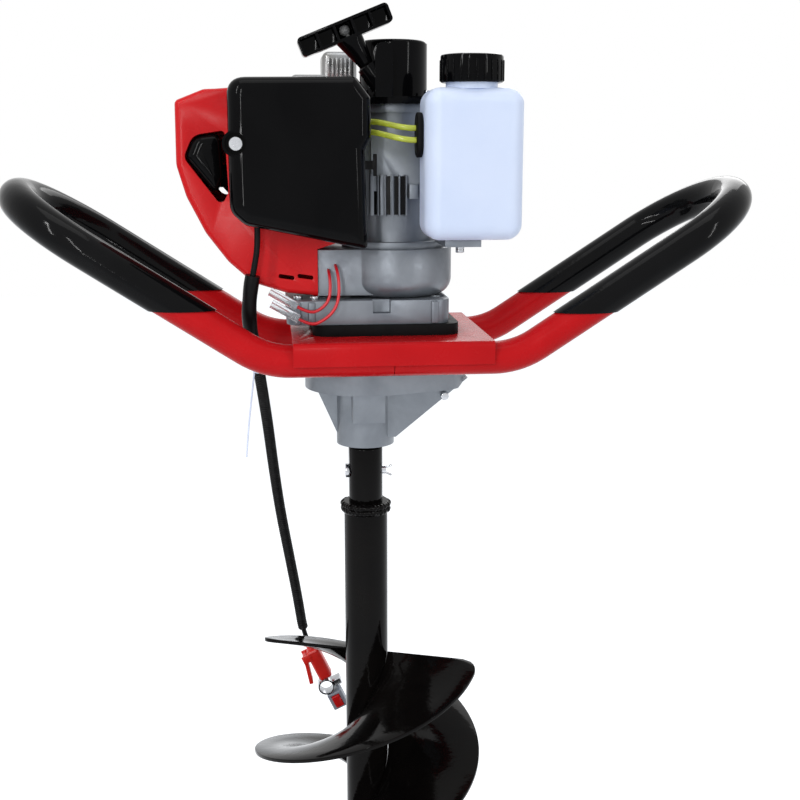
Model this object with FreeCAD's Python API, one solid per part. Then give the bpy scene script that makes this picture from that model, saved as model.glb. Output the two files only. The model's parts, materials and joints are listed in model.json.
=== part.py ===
import FreeCAD, Part
import math
import os

# Petrol ice auger: one-person power head with a vertical crankshaft, a two-stage gear case
# and a two-flight drill.  Millimetres.  X to the operator's right, Y away, Z up.
# The origin is on the drill axis, at the height of the straight handle tubes' centreline.

Vector = FreeCAD.Vector
UP = Vector(0, 0, 1)
DOWN = Vector(0, 0, -1)
RIGHT = Vector(1, 0, 0)
LEFT = Vector(-1, 0, 0)
AWAY = Vector(0, 1, 0)

# clearances
running_clearance = 0.03
fit_clearance = 0.02
weld_gap = 0.2
seat_gap = 0.1
cut_over = 1.0

# handle frame
tube_radius = 14.0
tube_wall = 1.6
tube_spacing = 150.0
frame_centre_x = 18.0
bend_radius = 70.0
rise_deg = 33.0
handle_reach = 312.0
butt_gap = 0.5
grip_thickness = 1.2
left_grip_start_z = 44.0
right_grip_start_z = 38.0
grip_gap = 0.05

# mounting plate and rubber pad
plate_half_length = 84.0
plate_thickness = 2.5
plate_flange = 17.0
plate_bend = 5.0
pad_thickness = 9.8
pad_half_depth = 55.0
pad_left_x = -48.0
pad_right_x = 78.0

# clutch housing, between the pad and the fan housing
block_left_x = -70.0
block_right_x = 70.0
block_half_depth = 53.0
block_height = 20.5
block_corner = 14.0
block_floor = 3.0
notch_left_x = 3.0
notch_width = 15.0
notch_height = 11.0
notch_depth = 9.0

# clutch
drum_radius = 36.0
drum_wall = 2.5
drum_height = 15.5
drum_room = 2.0
drum_hub_radius = 8.5
shoe_gap = 1.0
shoe_thickness = 9.0
shoe_inner_radius = 16.0
shoe_split = 6.0
shoe_pin_radius = 4.0
shoe_pin_offset = 23.0
spring_wire = 1.2

# gear train: two stages of spur gears
input_teeth = 10
wheel_teeth = 46
wheel_module = 1.0
pinion_teeth = 11
output_teeth = 61
output_module = 1.5
tooth_backlash = 0.16
stage_one_distance = wheel_module * (input_teeth + wheel_teeth) / 2
stage_two_distance = output_module * (pinion_teeth + output_teeth) / 2
wheel_x = stage_two_distance
crank_x = wheel_x - stage_one_distance
output_gear_width = 12.0
wheel_width = 8.0
pinion_overhang = 1.0
stage_gap = 6.0
gear_floor_gap = 3.0

# gear case
case_wall = 5.0
case_radius = 54.0
case_lobe_radius = 37.0
case_bottom_z = -36.0
case_floor = 6.0
cover_thickness = 12.2
boss_radius = 26.0
boss_end_z = -89.0
web_half_width = 18.0
web_low_z = -81.0
web_tip_z = -28.0
rib_half_width = 14.0
rib_reach = 44.0
side_rib_reach = 44.0
side_rib_half_width = 4.0
spigot_radius = 20.0
spigot_bore = 9.0
spigot_height = 14.0

# shafts and bearings: bore radius, outer radius, width
output_radius = 10.0
output_journal_radius = 6.0
output_end_z = -141.0
input_radius = 5.0
main_bearing = (10.0, 21.0, 12.0)
journal_bearing = (6.0, 10.5, 5.0)
small_bearing = (5.0, 13.0, 8.0)
crank_bearing = (7.5, 17.5, 11.0)
seal_height = 8.0
seal_radius = 18.0

# engine
port_x = -42.0
fan_height = 42.0
fan_radius = 51.0
fan_wall = 3.0
fan_corner = 15.0
duct_left_x = -43.0
duct_half_depth = 40.0
duct_bottom_rise = 3.0
fan_eye_radius = 33.5
flywheel_radius = 39.0
flywheel_bottom_rise = 6.0
flywheel_disc = 6.0
flywheel_hub_radius = 14.0
blade_count = 12
fan_blade_height = 14.0
fan_blade_thickness = 2.0
fan_blade_length = 14.0
case_height = 121.0
crankcase_radius = 37.0
crankcase_wall = 5.0
case_foot = 6.0
case_foot_radius = 46.0
case_head_radius = 30.0
case_rim_radius = 34.0
case_rim_height = 7.0
case_head_height = 25.0
crank_throw = 17.0
crank_pin_radius = 6.0
crank_web_radius = 30.0
crank_web_width = 11.0
cylinder_z = 150.0
rod_length = 58.0
rod_width = 8.0
rod_eye_wall = 3.5
piston_pin_radius = 5.0
bore_radius = 22.0
piston_clearance = 0.05
piston_skirt = 22.0
piston_height = 42.0
barrel_wall = 4.0
cylinder_base_x = -14.0
cylinder_head_x = -97.0
head_thickness = 9.0
fin_count = 9
fin_pitch = 8.0
fin_thickness = 2.4
fin_half_height = 40.0
fin_front_y = -29.0
fin_back_y = 37.0
port_half_width = 16.0
port_half_height = 15.0
port_radius = 9.0
front_rib_xs = (2.0, 10.5, 19.0)
front_rib_width = 3.0
front_rib_low_z = 118.0
front_rib_high_z = 152.0
front_rib_y = -44.0
front_block_left_x = 3.0
front_block_right_x = 48.0
front_block_low_z = 138.0
front_block_high_z = 184.0
front_block_y = -40.0

# spark plug, cap, coil
plug_thread_radius = 6.0
plug_hex_radius = 10.0
plug_hex_height = 10.0
plug_insulator_radius = 5.0
plug_length = 26.0
cap_radius = 9.5
cap_length = 30.0
lead_radius = 3.5
coil_width = 26.0
coil_depth = 16.0
coil_height = 24.0

# engine shroud
shroud_front_y = -43.0
shroud_back_y = 43.0
shroud_wall = 2.0
shroud_right_x = -20.5
shroud_low_z = 50.0
shroud_mouth_top_z = 86.0
shroud_side_low_z = 96.0
shroud_top_z = 239.0

# muffler
muffler_left_x = -62.0
muffler_right_x = -2.0
muffler_depth = 42.0
muffler_low_z = 120.0
muffler_high_z = 238.0
muffler_ribs = 6
muffler_wall = 1.5
muffler_round = 6.0
muffler_crown_left_x = -33.0
muffler_crown_top_z = 258.0
rib_proud = 2.0

# intake
manifold_length = 11.0
carb_length = 22.0
carb_half_width = 17.0
carb_half_height = 19.0
throat_radius = 9.0
base_thickness = 8.0
cover_front_y = -100.0
cover_wall = 2.2
cover_left_x = -114.0
cover_right_x = -1.0
cover_top_z = 229.0
cover_corner = 11.0
cover_screw_z = 177.0
cover_screw_inset = 6.0
screw_recess_radius = 8.5
screw_recess_depth = 15.0
filter_thickness = 14.0
filter_left_x = -88.0
filter_right_x = -14.0
filter_low_z = 122.0
filter_high_z = 212.0
choke_x = -9.0
choke_z = 160.0
choke_pin_radius = 2.5
choke_thickness = 3.0
choke_reach = 15.0

# starter
starter_base_height = 6.0
starter_base_radius = 42.0
starter_radius = 29.0
starter_height = 47.0
starter_wall = 2.5
spout_x = 14.0
spout_half_width = 7.5
spout_y = -34.0
spout_half_depth = 9.0
spout_top_z = 259.0
reel_radius = 24.0
reel_width = 9.0
reel_pin_radius = 5.0
rope_radius = 1.8
rope_turns_radius = 21.0
handle_lean_deg = -34.0
handle_bar_length = 80.0
handle_bar_height = 16.0
handle_bar_depth = 20.0
handle_bar_wall = 2.2
handle_cells = 5
handle_stem_length = 28.0
handle_stem_radius = 6.0
handle_stand_off = 0.5
bar_tilt_deg = -22.0
nose_radius = 9.0
nose_length = 20.0
knot_radius = 4.5
rope_start = 4.0

# fuel tank
tank_left_x = 42.0
tank_right_x = 122.5
tank_front_y = -100.0
tank_back_y = -46.0
tank_low_z = 100.0
tank_high_z = 221.0
tank_wall = 2.0
tank_corner = 13.0
neck_radius = 21.0
neck_height = 16.0
filler_cap_radius = 25.5
filler_cap_height = 22.0
filler_cap_wall = 3.0
neck_clearance = 0.3
ear_thickness = 6.0
ear_inset = 18.0
ear_width = 30.0
ear_front_y = -84.0
ear_back_y = -20.0
grommet_radius = 12.0
grommet_thickness = 5.0
grommet_height = 18.0
grommet_z = 184.0
hose_radius = 2.4

# drill
socket_radius = 15.5
socket_top_z = -92.0
weld_collar_z = -144.5
drill_tube_radius = 20.0
drill_tube_end_z = -872.0
flight_radius = 108.0
flight_thickness = 3.6
flight_pitch = 216.0
flight_top_z = -292.0
flight_bottom_z = -850.0
flight_top_deg = -20.0
flight_corner = 16.0
blade_thickness = 4.0
blade_sweep_deg = 48.0
blade_overhang_deg = 16.0
blade_inner_radius = 26.0
blade_outer_radius = 111.0
blade_bolt_radius = 4.0
blade_bolt_head = 7.0
blade_bolt_radii = (45.0, 80.0)
blade_bolt_back_deg = 16.0
point_length = 30.0
drive_pin_z = -116.0
drive_pin_radius = 4.0
drive_pin_overhang = 3.0
clip_radius = 0.9
clip_length = 7.0

# bolts through the clutch housing
housing_bolt_radius = 3.0
bolt_clearance = 0.2
housing_bolt_head = 5.0
housing_bolt_head_height = 4.0

# control cable and the throttle unit on it
cable_radius = 2.5
conduit_radius = 5.2
conduit_bore = 2.8
conduit_top_z = 70.0
sleeve_end_z = 4.0
cable_points = [
    (-93.0, -58.0, 110.0), (-93.0, -58.0, 94.0), (-96.0, -58.0, 78.0), (-100.0, -56.5, 58.0),
    (-102.0, -51.5, 36.0), (-100.0, -40.0, 12.0), (-95.5, -23.0, -12.0), (-92.5, 2.0, -40.0),
    (-88.5, 32.0, -78.0), (-84.5, 57.0, -123.0), (-78.5, 79.0, -177.0), (-70.0, 98.0, -232.0),
    (-62.0, 113.0, -284.0), (-56.84, 121.0, -324.4), (-50.5, 121.0, -338.0),
]
conduit_end_z = -300.0
unit_lean_deg = 25.0
unit_length = 36.0
unit_half_width = 7.0
unit_half_depth = 8.0
unit_collar = 4.0
lever_length = 28.5
lever_thickness = 4.0
lever_half_depth = 7.0
lever_out_deg = 13.0
lever_pin_radius = 1.5
clamp_radius = 8.5
clamp_wall = 1.6
clamp_width = 14.0
switch_half_width = 8.0
switch_half_depth = 8.0
switch_height = 19.0
rocker_half_width = 4.2
rocker_half_height = 6.4
rocker_thickness = 4.5
rocker_rest_deg = 8.0
rocker_room = 0.5


# ---------------------------------------------------------------- places worked out from the above
tube_y = tube_spacing / 2
plate_bottom_z = tube_radius + weld_gap
plate_top_z = plate_bottom_z + plate_thickness
pad_top_z = plate_top_z + pad_thickness
block_top_z = pad_top_z + block_height
fan_top_z = block_top_z + fan_height
case_top_z = fan_top_z + case_height
starter_base_top_z = case_top_z + starter_base_height
starter_top_z = starter_base_top_z + starter_height
cover_bottom_z = plate_bottom_z - cover_thickness
case_inside_z = case_bottom_z + case_floor
output_gear_z = case_inside_z + gear_floor_gap
wheel_z = output_gear_z + output_gear_width + stage_gap
base_back_y = fin_front_y - 1.0 - manifold_length - carb_length
base_front_y = base_back_y - base_thickness
housing_bolt_seat_z = pad_top_z + 10.0
housing_bolt_end_z = cover_bottom_z + 2.5
drum_floor_z = pad_top_z + block_floor + 1.5
shoe_z = drum_floor_z + drum_wall + 3.0
main_bearing_z = case_bottom_z - 18.0
lower_bearing_z = case_inside_z - small_bearing[2]
flywheel_z = block_top_z + flywheel_bottom_rise
flights = 2
drill_bore_radius = socket_radius + weld_gap
housing_bolts_at = [(-38.0, -30.0), (-38.0, 30.0), (62.0, -27.0), (62.0, 27.0)]


# ---------------------------------------------------------------- shapes used by many pieces
def at(x, y, z):
    return Vector(x, y, z)


def rod(radius, length, base, direction=UP):
    return Part.makeCylinder(radius, length, base, direction)


def ring(outer, bore, length, base, direction=UP):
    hole = rod(bore, length + 2 * cut_over, base - direction * cut_over, direction)
    return rod(outer, length, base, direction).cut(hole)


def block(low, high):
    return Part.makeBox(high[0] - low[0], high[1] - low[1], high[2] - low[2], Vector(*low))


def rounded_block(low, high, radius):
    plain = block(low, high)
    return plain.makeFillet(radius, plain.Edges)


def arc_at(before, corner, after, radius):
    """Where a fillet of this radius starts, passes and ends at a corner."""
    back = (before - corner).normalize()
    ahead = (after - corner).normalize()
    half_turn = (math.pi - back.getAngle(ahead)) / 2
    reach = radius * math.tan(half_turn)
    inwards = (back + ahead).normalize()
    middle = corner + inwards * (radius / math.cos(half_turn) - radius)
    return corner + back * reach, middle, corner + ahead * reach


def straight(start, end):
    return [Part.LineSegment(start, end).toShape()] if start.distanceToPoint(end) > 1e-6 else []


def open_route(points, radii):
    """Straight runs joined by tangent arcs, one radius for each inner point."""
    edges = []
    last = points[0]
    for number, radius in enumerate(radii, start=1):
        start, middle, end = arc_at(points[number - 1], points[number], points[number + 1], radius)
        edges += straight(last, start)
        edges.append(Part.Arc(start, middle, end).toShape())
        last = end
    edges += straight(last, points[-1])
    return Part.Wire(edges)


def outline(points, radii):
    """A closed wire through the points, each corner rounded by its own radius (0 is sharp)."""
    corners = []
    count = len(points)
    for number, radius in enumerate(radii):
        before = points[number - 1]
        after = points[(number + 1) % count]
        if radius > 0:
            corners.append(arc_at(before, points[number], after, radius))
        else:
            corners.append((points[number], None, points[number]))
    edges = []
    for number, (start, middle, end) in enumerate(corners):
        if middle is not None:
            edges.append(Part.Arc(start, middle, end).toShape())
        edges += straight(end, corners[(number + 1) % count][0])
    return Part.Wire(edges)


def prism(points, radii, along):
    return Part.Face(outline(points, radii)).extrude(along)


def front_prism(corners, radii, front_y, back_y):
    """An XZ outline carried from front_y to back_y."""
    points = [at(x, front_y, z) for x, z in corners]
    return prism(points, radii, at(0, back_y - front_y, 0))


def swept(route, radius):
    first = route.OrderedEdges[0]
    start = first.valueAt(first.FirstParameter)
    direction = first.tangentAt(first.FirstParameter)
    if route.OrderedVertexes[0].Point.distanceToPoint(start) > 1e-6:
        start = first.valueAt(first.LastParameter)
        direction = -first.tangentAt(first.LastParameter)
    profile = Part.Wire(Part.makeCircle(radius, start, direction))
    return route.makePipeShell([profile], True, False)


def cord_route(points, name):
    """Each arc is as large as its two runs allow; the radii are printed."""
    radii = []
    for before, corner, after in zip(points, points[1:], points[2:]):
        turn = math.pi - (before - corner).getAngle(after - corner)
        shorter = min(before.distanceToPoint(corner), after.distanceToPoint(corner))
        radii.append(0.45 * shorter / math.tan(turn / 2))
    print(name, "arc radii", [round(radius, 1) for radius in radii])
    return open_route(points, radii)


def cord_tube(points, radius, name):
    route = cord_route(points, name)
    tube = swept(route, radius)
    ideal = math.pi * radius ** 2 * route.Length
    print(name, "length", round(route.Length, 1), "volume ratio", round(tube.Volume / ideal, 5))
    return tube


def fused(pieces):
    joined = pieces[0]
    for piece in pieces[1:]:
        joined = joined.fuse(piece)
    return joined.removeSplitter()


def without(shape, tools):
    for tool in tools:
        shape = shape.cut(tool)
    return shape


def turned(shape, degrees, centre=at(0, 0, 0), axis=UP):
    copy = shape.copy()
    copy.rotate(centre, axis, degrees)
    return copy


def moved(shape, offset):
    copy = shape.copy()
    copy.translate(offset)
    return copy


def hexagon(radius, length, base, direction=UP):
    corners = [at(radius * math.cos(a), radius * math.sin(a), 0)
               for a in (math.radians(60 * k) for k in range(6))]
    head = Part.Face(Part.makePolygon(corners + corners[:1])).extrude(UP * length)
    head.Placement = FreeCAD.Placement(base, FreeCAD.Rotation(UP, direction))
    return head


# ---------------------------------------------------------------- gears
def gear(teeth, module, width, base, bore, start_deg):
    """A spur gear with involute flanks; a tooth points along start_deg."""
    pitch = module * teeth / 2
    base_radius = pitch * math.cos(math.radians(20))
    tip = pitch + 0.9 * module
    root = pitch - 1.2 * module
    half_tooth = math.pi / (2 * teeth) - tooth_backlash / (2 * pitch)
    involute_at_pitch = math.tan(math.radians(20)) - math.radians(20)

    def half_angle(radius):
        pressure = math.acos(min(1.0, base_radius / radius))
        return half_tooth + involute_at_pitch - (math.tan(pressure) - pressure)

    def on(radius, angle):
        return at(radius * math.cos(angle), radius * math.sin(angle), 0)

    low = max(root, base_radius)
    flank = [low + (tip - low) * k / 3 for k in range(4)]
    edges = []
    step = 2 * math.pi / teeth
    for tooth in range(teeth):
        middle = math.radians(start_deg) + tooth * step
        rising = [on(r, middle - half_angle(r)) for r in flank]
        falling = [on(r, middle + half_angle(r)) for r in reversed(flank)]
        foot = on(root, middle - half_angle(low))
        heel = on(root, middle + half_angle(low))
        next_foot = on(root, middle + step - half_angle(low))
        edges += straight(foot, rising[0])
        edges.append(Part.BSplineCurve(rising).toShape())
        edges.append(Part.Arc(rising[-1], on(tip, middle), falling[0]).toShape())
        edges.append(Part.BSplineCurve(falling).toShape())
        edges += straight(falling[-1], heel)
        edges.append(Part.Arc(heel, on(root, middle + step / 2), next_foot).toShape())
    body = Part.Face(Part.Wire(edges)).extrude(UP * width)
    body.translate(base)
    if bore > 0:
        body = body.cut(rod(bore, width + 2 * cut_over, base + DOWN * cut_over))
    return body


# ---------------------------------------------------------------- handle frame
def handle_points(side):
    """Corner points of one U-shaped handle: near leg, end, far leg."""
    bend_reach = bend_radius * math.tan(math.radians(rise_deg / 2))
    knee = plate_half_length + 1.0 + bend_reach
    end_z = (handle_reach - knee) * math.tan(math.radians(rise_deg))
    start_x = frame_centre_x + side * butt_gap / 2
    knee_x = frame_centre_x + side * knee
    end_x = frame_centre_x + side * handle_reach
    half = [(start_x, 0.0), (knee_x, 0.0), (end_x, end_z)]
    near = [at(x, -tube_y, z) for x, z in half]
    far = [at(x, tube_y, z) for x, z in reversed(half)]
    return near + far


def handle_solid(side, radius):
    radii = [bend_radius, tube_y, tube_y, bend_radius]
    return swept(open_route(handle_points(side), radii), radius)


def handle_loop(side):
    return handle_solid(side, tube_radius).cut(handle_solid(side, tube_radius - tube_wall))


def grip(side):
    """Dipped coat on the raised end of a handle, ending at one level."""
    inside = handle_solid(side, tube_radius + grip_gap)
    outside = handle_solid(side, tube_radius + grip_gap + grip_thickness)
    far_off = handle_reach + tube_spacing
    start_z = left_grip_start_z if side < 0 else right_grip_start_z
    above = block((frame_centre_x - far_off, -far_off, start_z),
                  (frame_centre_x + far_off, far_off, start_z + far_off))
    return outside.cut(inside).common(above)


def mounting_plate():
    inner_y = tube_y + tube_radius + weld_gap
    outer_y = inner_y + plate_thickness
    low_z = plate_top_z - plate_flange - plate_thickness
    left_x = frame_centre_x - plate_half_length
    section = [(-outer_y, low_z), (-outer_y, plate_top_z), (outer_y, plate_top_z), (outer_y, low_z),
               (inner_y, low_z), (inner_y, plate_bottom_z), (-inner_y, plate_bottom_z),
               (-inner_y, low_z)]
    inner_bend = plate_bend - plate_thickness
    radii = [0, plate_bend, plate_bend, 0, 0, inner_bend, inner_bend, 0]
    points = [at(left_x, y, z) for y, z in section]
    channel = prism(points, radii, RIGHT * (2 * plate_half_length))
    return without(channel, bolt_holes(plate_bottom_z, plate_top_z) + [spigot_hole(plate_bottom_z)])


def rubber_pad():
    corners = [(pad_left_x, -pad_half_depth), (pad_right_x, -pad_half_depth),
               (pad_right_x, pad_half_depth), (pad_left_x, pad_half_depth)]
    points = [at(x, y, plate_top_z) for x, y in corners]
    pad = prism(points, [block_corner] * 4, UP * pad_thickness)
    return without(pad, bolt_holes(plate_top_z, pad_top_z) + [spigot_hole(plate_top_z)])


def bolt_holes(low_z, high_z):
    return [rod(housing_bolt_radius + bolt_clearance, high_z - low_z + 2 * cut_over,
                at(x, y, low_z - cut_over)) for x, y in housing_bolts_at]


def spigot_hole(low_z):
    return rod(spigot_radius + fit_clearance, 3 * spigot_height, at(crank_x, 0, low_z - cut_over))


# ---------------------------------------------------------------- clutch
def clutch_housing():
    corners = [(block_left_x, -block_half_depth), (block_right_x, -block_half_depth),
               (block_right_x, block_half_depth), (block_left_x, block_half_depth)]
    points = [at(x, y, pad_top_z) for x, y in corners]
    body = prism(points, [block_corner] * 4, UP * block_height)
    cavity = rod(drum_radius + drum_room, block_height, at(crank_x, 0, pad_top_z + block_floor))
    wells = [rod(housing_bolt_head + 0.8, block_height, at(x, y, housing_bolt_seat_z))
             for x, y in housing_bolts_at]
    notch = block((notch_left_x, -block_half_depth - cut_over, block_top_z - notch_height),
                  (notch_left_x + notch_width, -block_half_depth + notch_depth,
                   block_top_z + cut_over))
    cuts = [cavity, notch, spigot_hole(pad_top_z)] + wells + bolt_holes(pad_top_z, block_top_z)
    return without(body, cuts)


def clutch_drum():
    cup = ring(drum_radius, drum_radius - drum_wall, drum_height, at(crank_x, 0, drum_floor_z))
    floor = rod(drum_radius, drum_wall, at(crank_x, 0, drum_floor_z))
    hub = rod(drum_hub_radius, 3.0, at(crank_x, 0, drum_floor_z - 3.0))
    bore = rod(input_radius + fit_clearance, drum_height, at(crank_x, 0, drum_floor_z - 4.0))
    return fused([cup, floor, hub]).cut(bore)


def clutch_shoes():
    """Two half rings that swing out against the drum."""
    outer = drum_radius - drum_wall - shoe_gap
    whole = ring(outer, shoe_inner_radius, shoe_thickness, at(crank_x, 0, shoe_z))
    gap = block((crank_x - drum_radius, -shoe_split / 2, shoe_z - cut_over),
                (crank_x + drum_radius, shoe_split / 2, shoe_z + shoe_thickness + cut_over))
    groove = ring(shoe_inner_radius + 8 + spring_wire, shoe_inner_radius + 8 - spring_wire,
                  2 * spring_wire, at(crank_x, 0, shoe_z + shoe_thickness - 2 * spring_wire))
    holes = [rod(shoe_pin_radius + running_clearance, shoe_thickness + 2 * cut_over,
                 at(crank_x, side * shoe_pin_offset, shoe_z - cut_over)) for side in (-1, 1)]
    return without(whole, [gap, groove] + holes)


def clutch_spring():
    middle = shoe_inner_radius + 8
    thick = spring_wire - seat_gap
    hoop = ring(middle + thick, middle - thick, 2 * thick,
                at(crank_x, 0, shoe_z + shoe_thickness - spring_wire - thick))
    pins = [rod(shoe_pin_radius + 2 * running_clearance, 4 * spring_wire,
                at(crank_x, side * shoe_pin_offset, shoe_z + shoe_thickness - 3 * spring_wire))
            for side in (-1, 1)]
    return without(hoop, pins)


# ---------------------------------------------------------------- gear case
def case_outline(inset, z):
    """Round about the output gear, with a smaller round end about the wheel's shaft."""
    big = case_radius - inset
    small = case_lobe_radius - inset
    lean = math.acos((big - small) / wheel_x)
    first = at(big * math.cos(lean), big * math.sin(lean), z)
    second = at(wheel_x + small * math.cos(lean), small * math.sin(lean), z)
    mirror_first = at(first.x, -first.y, z)
    mirror_second = at(second.x, -second.y, z)
    edges = [Part.Arc(first, at(-big, 0, z), mirror_first).toShape(),
             Part.LineSegment(mirror_first, mirror_second).toShape(),
             Part.Arc(mirror_second, at(wheel_x + small, 0, z), second).toShape(),
             Part.LineSegment(second, first).toShape()]
    return Part.Face(Part.Wire(edges))


def gear_case():
    shell = case_outline(0, case_bottom_z).extrude(UP * (cover_bottom_z - case_bottom_z))
    boss = rod(boss_radius, case_bottom_z - boss_end_z, at(0, 0, boss_end_z))
    tip_x = wheel_x + case_lobe_radius
    web = front_prism([(0, web_low_z), (boss_radius, web_low_z), (tip_x, web_tip_z),
                       (wheel_x, case_inside_z), (0, case_inside_z)],
                      [0] * 5, -web_half_width, web_half_width)
    fall = (web_tip_z - web_low_z) / (tip_x - boss_radius)
    under_tip = front_prism([(wheel_x, web_tip_z - fall * case_lobe_radius),
                             (tip_x + cut_over, web_tip_z + fall * cut_over),
                             (tip_x + cut_over, web_tip_z - fall * case_lobe_radius)],
                            [0] * 3, -case_radius, case_radius)
    front_rib = block((-rib_half_width, -rib_reach, case_bottom_z - 26),
                      (rib_half_width, 0, case_bottom_z + 2))
    slope = front_prism([(-side_rib_reach, case_bottom_z + 2), (0, case_bottom_z + 2),
                         (0, boss_end_z + 10), (-boss_radius, boss_end_z + 10),
                         (-side_rib_reach, case_bottom_z - 2)],
                        [0] * 5, -side_rib_half_width, side_rib_half_width)
    body = fused([shell, boss, web, front_rib, slope])
    inside = case_outline(case_wall, case_inside_z).extrude(UP * (cover_bottom_z - case_inside_z))
    shaft_way = rod(output_radius + 1.5, 200, at(0, 0, boss_end_z - cut_over))
    bearing_well = rod(main_bearing[1] + fit_clearance, case_inside_z - main_bearing_z + cut_over,
                       at(0, 0, main_bearing_z))
    seal_well = rod(seal_radius + fit_clearance, seal_height + cut_over + 1,
                    at(0, 0, boss_end_z - cut_over))
    wheel_well = rod(small_bearing[1] + fit_clearance, small_bearing[2] + cut_over,
                     at(wheel_x, 0, lower_bearing_z))
    return without(body, [under_tip, inside, shaft_way, bearing_well, seal_well, wheel_well])


def gear_case_cover():
    plate = case_outline(0, cover_bottom_z).extrude(UP * cover_thickness)
    spigot = rod(spigot_radius, spigot_height, at(crank_x, 0, plate_bottom_z - cut_over))
    body = fused([plate, spigot])
    wells = [rod(journal_bearing[1] + fit_clearance, journal_bearing[2] + cut_over,
                 at(0, 0, cover_bottom_z - cut_over))]
    wells += [rod(small_bearing[1] + fit_clearance, small_bearing[2] + cut_over,
                  at(x, 0, cover_bottom_z - cut_over)) for x in (crank_x, wheel_x)]
    way = rod(spigot_bore, 60, at(crank_x, 0, cover_bottom_z))
    return without(body, wells + [way] + threaded_holes())


def threaded_holes():
    return [rod(housing_bolt_radius + fit_clearance, plate_bottom_z - housing_bolt_end_z + cut_over,
                at(x, y, housing_bolt_end_z)) for x, y in housing_bolts_at]


def housing_bolts():
    bolts = []
    for x, y in housing_bolts_at:
        stem = rod(housing_bolt_radius, housing_bolt_seat_z - housing_bolt_end_z - seat_gap,
                   at(x, y, housing_bolt_end_z + seat_gap))
        head = rod(housing_bolt_head, housing_bolt_head_height, at(x, y, housing_bolt_seat_z))
        bolts.append(fused([stem, head]))
    return bolts


def bearing(sizes, x, z):
    """A deep-groove bearing drawn as one ring with a shallow shield groove in each face."""
    bore, outer, width = sizes
    body = ring(outer, bore + fit_clearance, width, at(x, 0, z))
    wide = outer - bore
    grooves = [ring(outer - 0.25 * wide, bore + 0.25 * wide, 0.6 + cut_over, at(x, 0, low))
               for low in (z - cut_over, z + width - 0.6)]
    return without(body, grooves)


def ball_bearings():
    lower = cylinder_z - rod_width / 2 - crank_web_width - 1.0 - crank_bearing[2]
    upper = cylinder_z + rod_width / 2 + crank_web_width + 1.0
    return [
        bearing(main_bearing, 0, main_bearing_z),
        bearing(journal_bearing, 0, cover_bottom_z + seat_gap - 0.1),
        bearing(small_bearing, crank_x, cover_bottom_z),
        bearing(small_bearing, wheel_x, cover_bottom_z),
        bearing(small_bearing, wheel_x, lower_bearing_z),
        bearing(crank_bearing, crank_x, lower),
        bearing(crank_bearing, crank_x, upper),
    ]


def oil_seal():
    return ring(seal_radius, output_radius + running_clearance, seal_height, at(0, 0, boss_end_z))


def output_shaft():
    top_z = cover_bottom_z + journal_bearing[2] - seat_gap
    main_top = output_gear_z + output_gear_width + 2
    thick = rod(output_radius, main_top - output_end_z, at(0, 0, output_end_z))
    thin = rod(output_journal_radius, top_z - main_top + 1, at(0, 0, main_top - 1))
    return fused([thick, thin]).cut(drive_pin_hole())


def output_gear():
    wheel = gear(output_teeth, output_module, output_gear_width, at(0, 0, output_gear_z),
                 output_radius + fit_clearance, 0)
    ring_out = output_module * output_teeth / 2 - 8
    recess = [ring(ring_out, 19, 2.5 + cut_over, at(0, 0, low))
              for low in (output_gear_z - cut_over, output_gear_z + output_gear_width - 2.5)]
    return without(wheel, recess)


def intermediate_gear():
    """The wheel that the input pinion drives."""
    return gear(wheel_teeth, wheel_module, wheel_width, at(wheel_x, 0, wheel_z),
                small_bearing[0] + 1 + fit_clearance, 180)


def intermediate_shaft():
    """Shaft with the second stage's pinion cut on it, carried by a bearing at each end."""
    low = lower_bearing_z + seat_gap
    high = cover_bottom_z + small_bearing[2] - seat_gap
    core = rod(small_bearing[0], high - low, at(wheel_x, 0, low))
    seat = rod(small_bearing[0] + 1, cover_bottom_z - 0.5 - output_gear_z,
               at(wheel_x, 0, output_gear_z))
    collar = rod(small_bearing[0] + 2.2, wheel_z - output_gear_z - output_gear_width,
                 at(wheel_x, 0, output_gear_z + output_gear_width))
    teeth = gear(pinion_teeth, output_module, output_gear_width + pinion_overhang,
                 at(wheel_x, 0, output_gear_z - pinion_overhang), 0, 0)
    return fused([teeth, core, seat, collar])


def input_pinion():
    """Shaft from the clutch drum down to the first stage's pinion."""
    low = wheel_z - 1
    teeth = gear(input_teeth, wheel_module, wheel_width + 1, at(crank_x, 0, low), 0, 18)
    thin = rod(3.4, cover_bottom_z - low, at(crank_x, 0, low))
    journal = rod(small_bearing[0], small_bearing[2] + 1.5, at(crank_x, 0, cover_bottom_z - 1.5))
    shoulder_z = cover_bottom_z + small_bearing[2]
    shoulder = rod(7.0, drum_floor_z - 3.0 - shoulder_z, at(crank_x, 0, shoulder_z))
    spindle = rod(input_radius, drum_floor_z + drum_wall + 1.5 - shoulder_z,
                  at(crank_x, 0, shoulder_z))
    return fused([teeth, thin, journal, shoulder, spindle])


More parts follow.
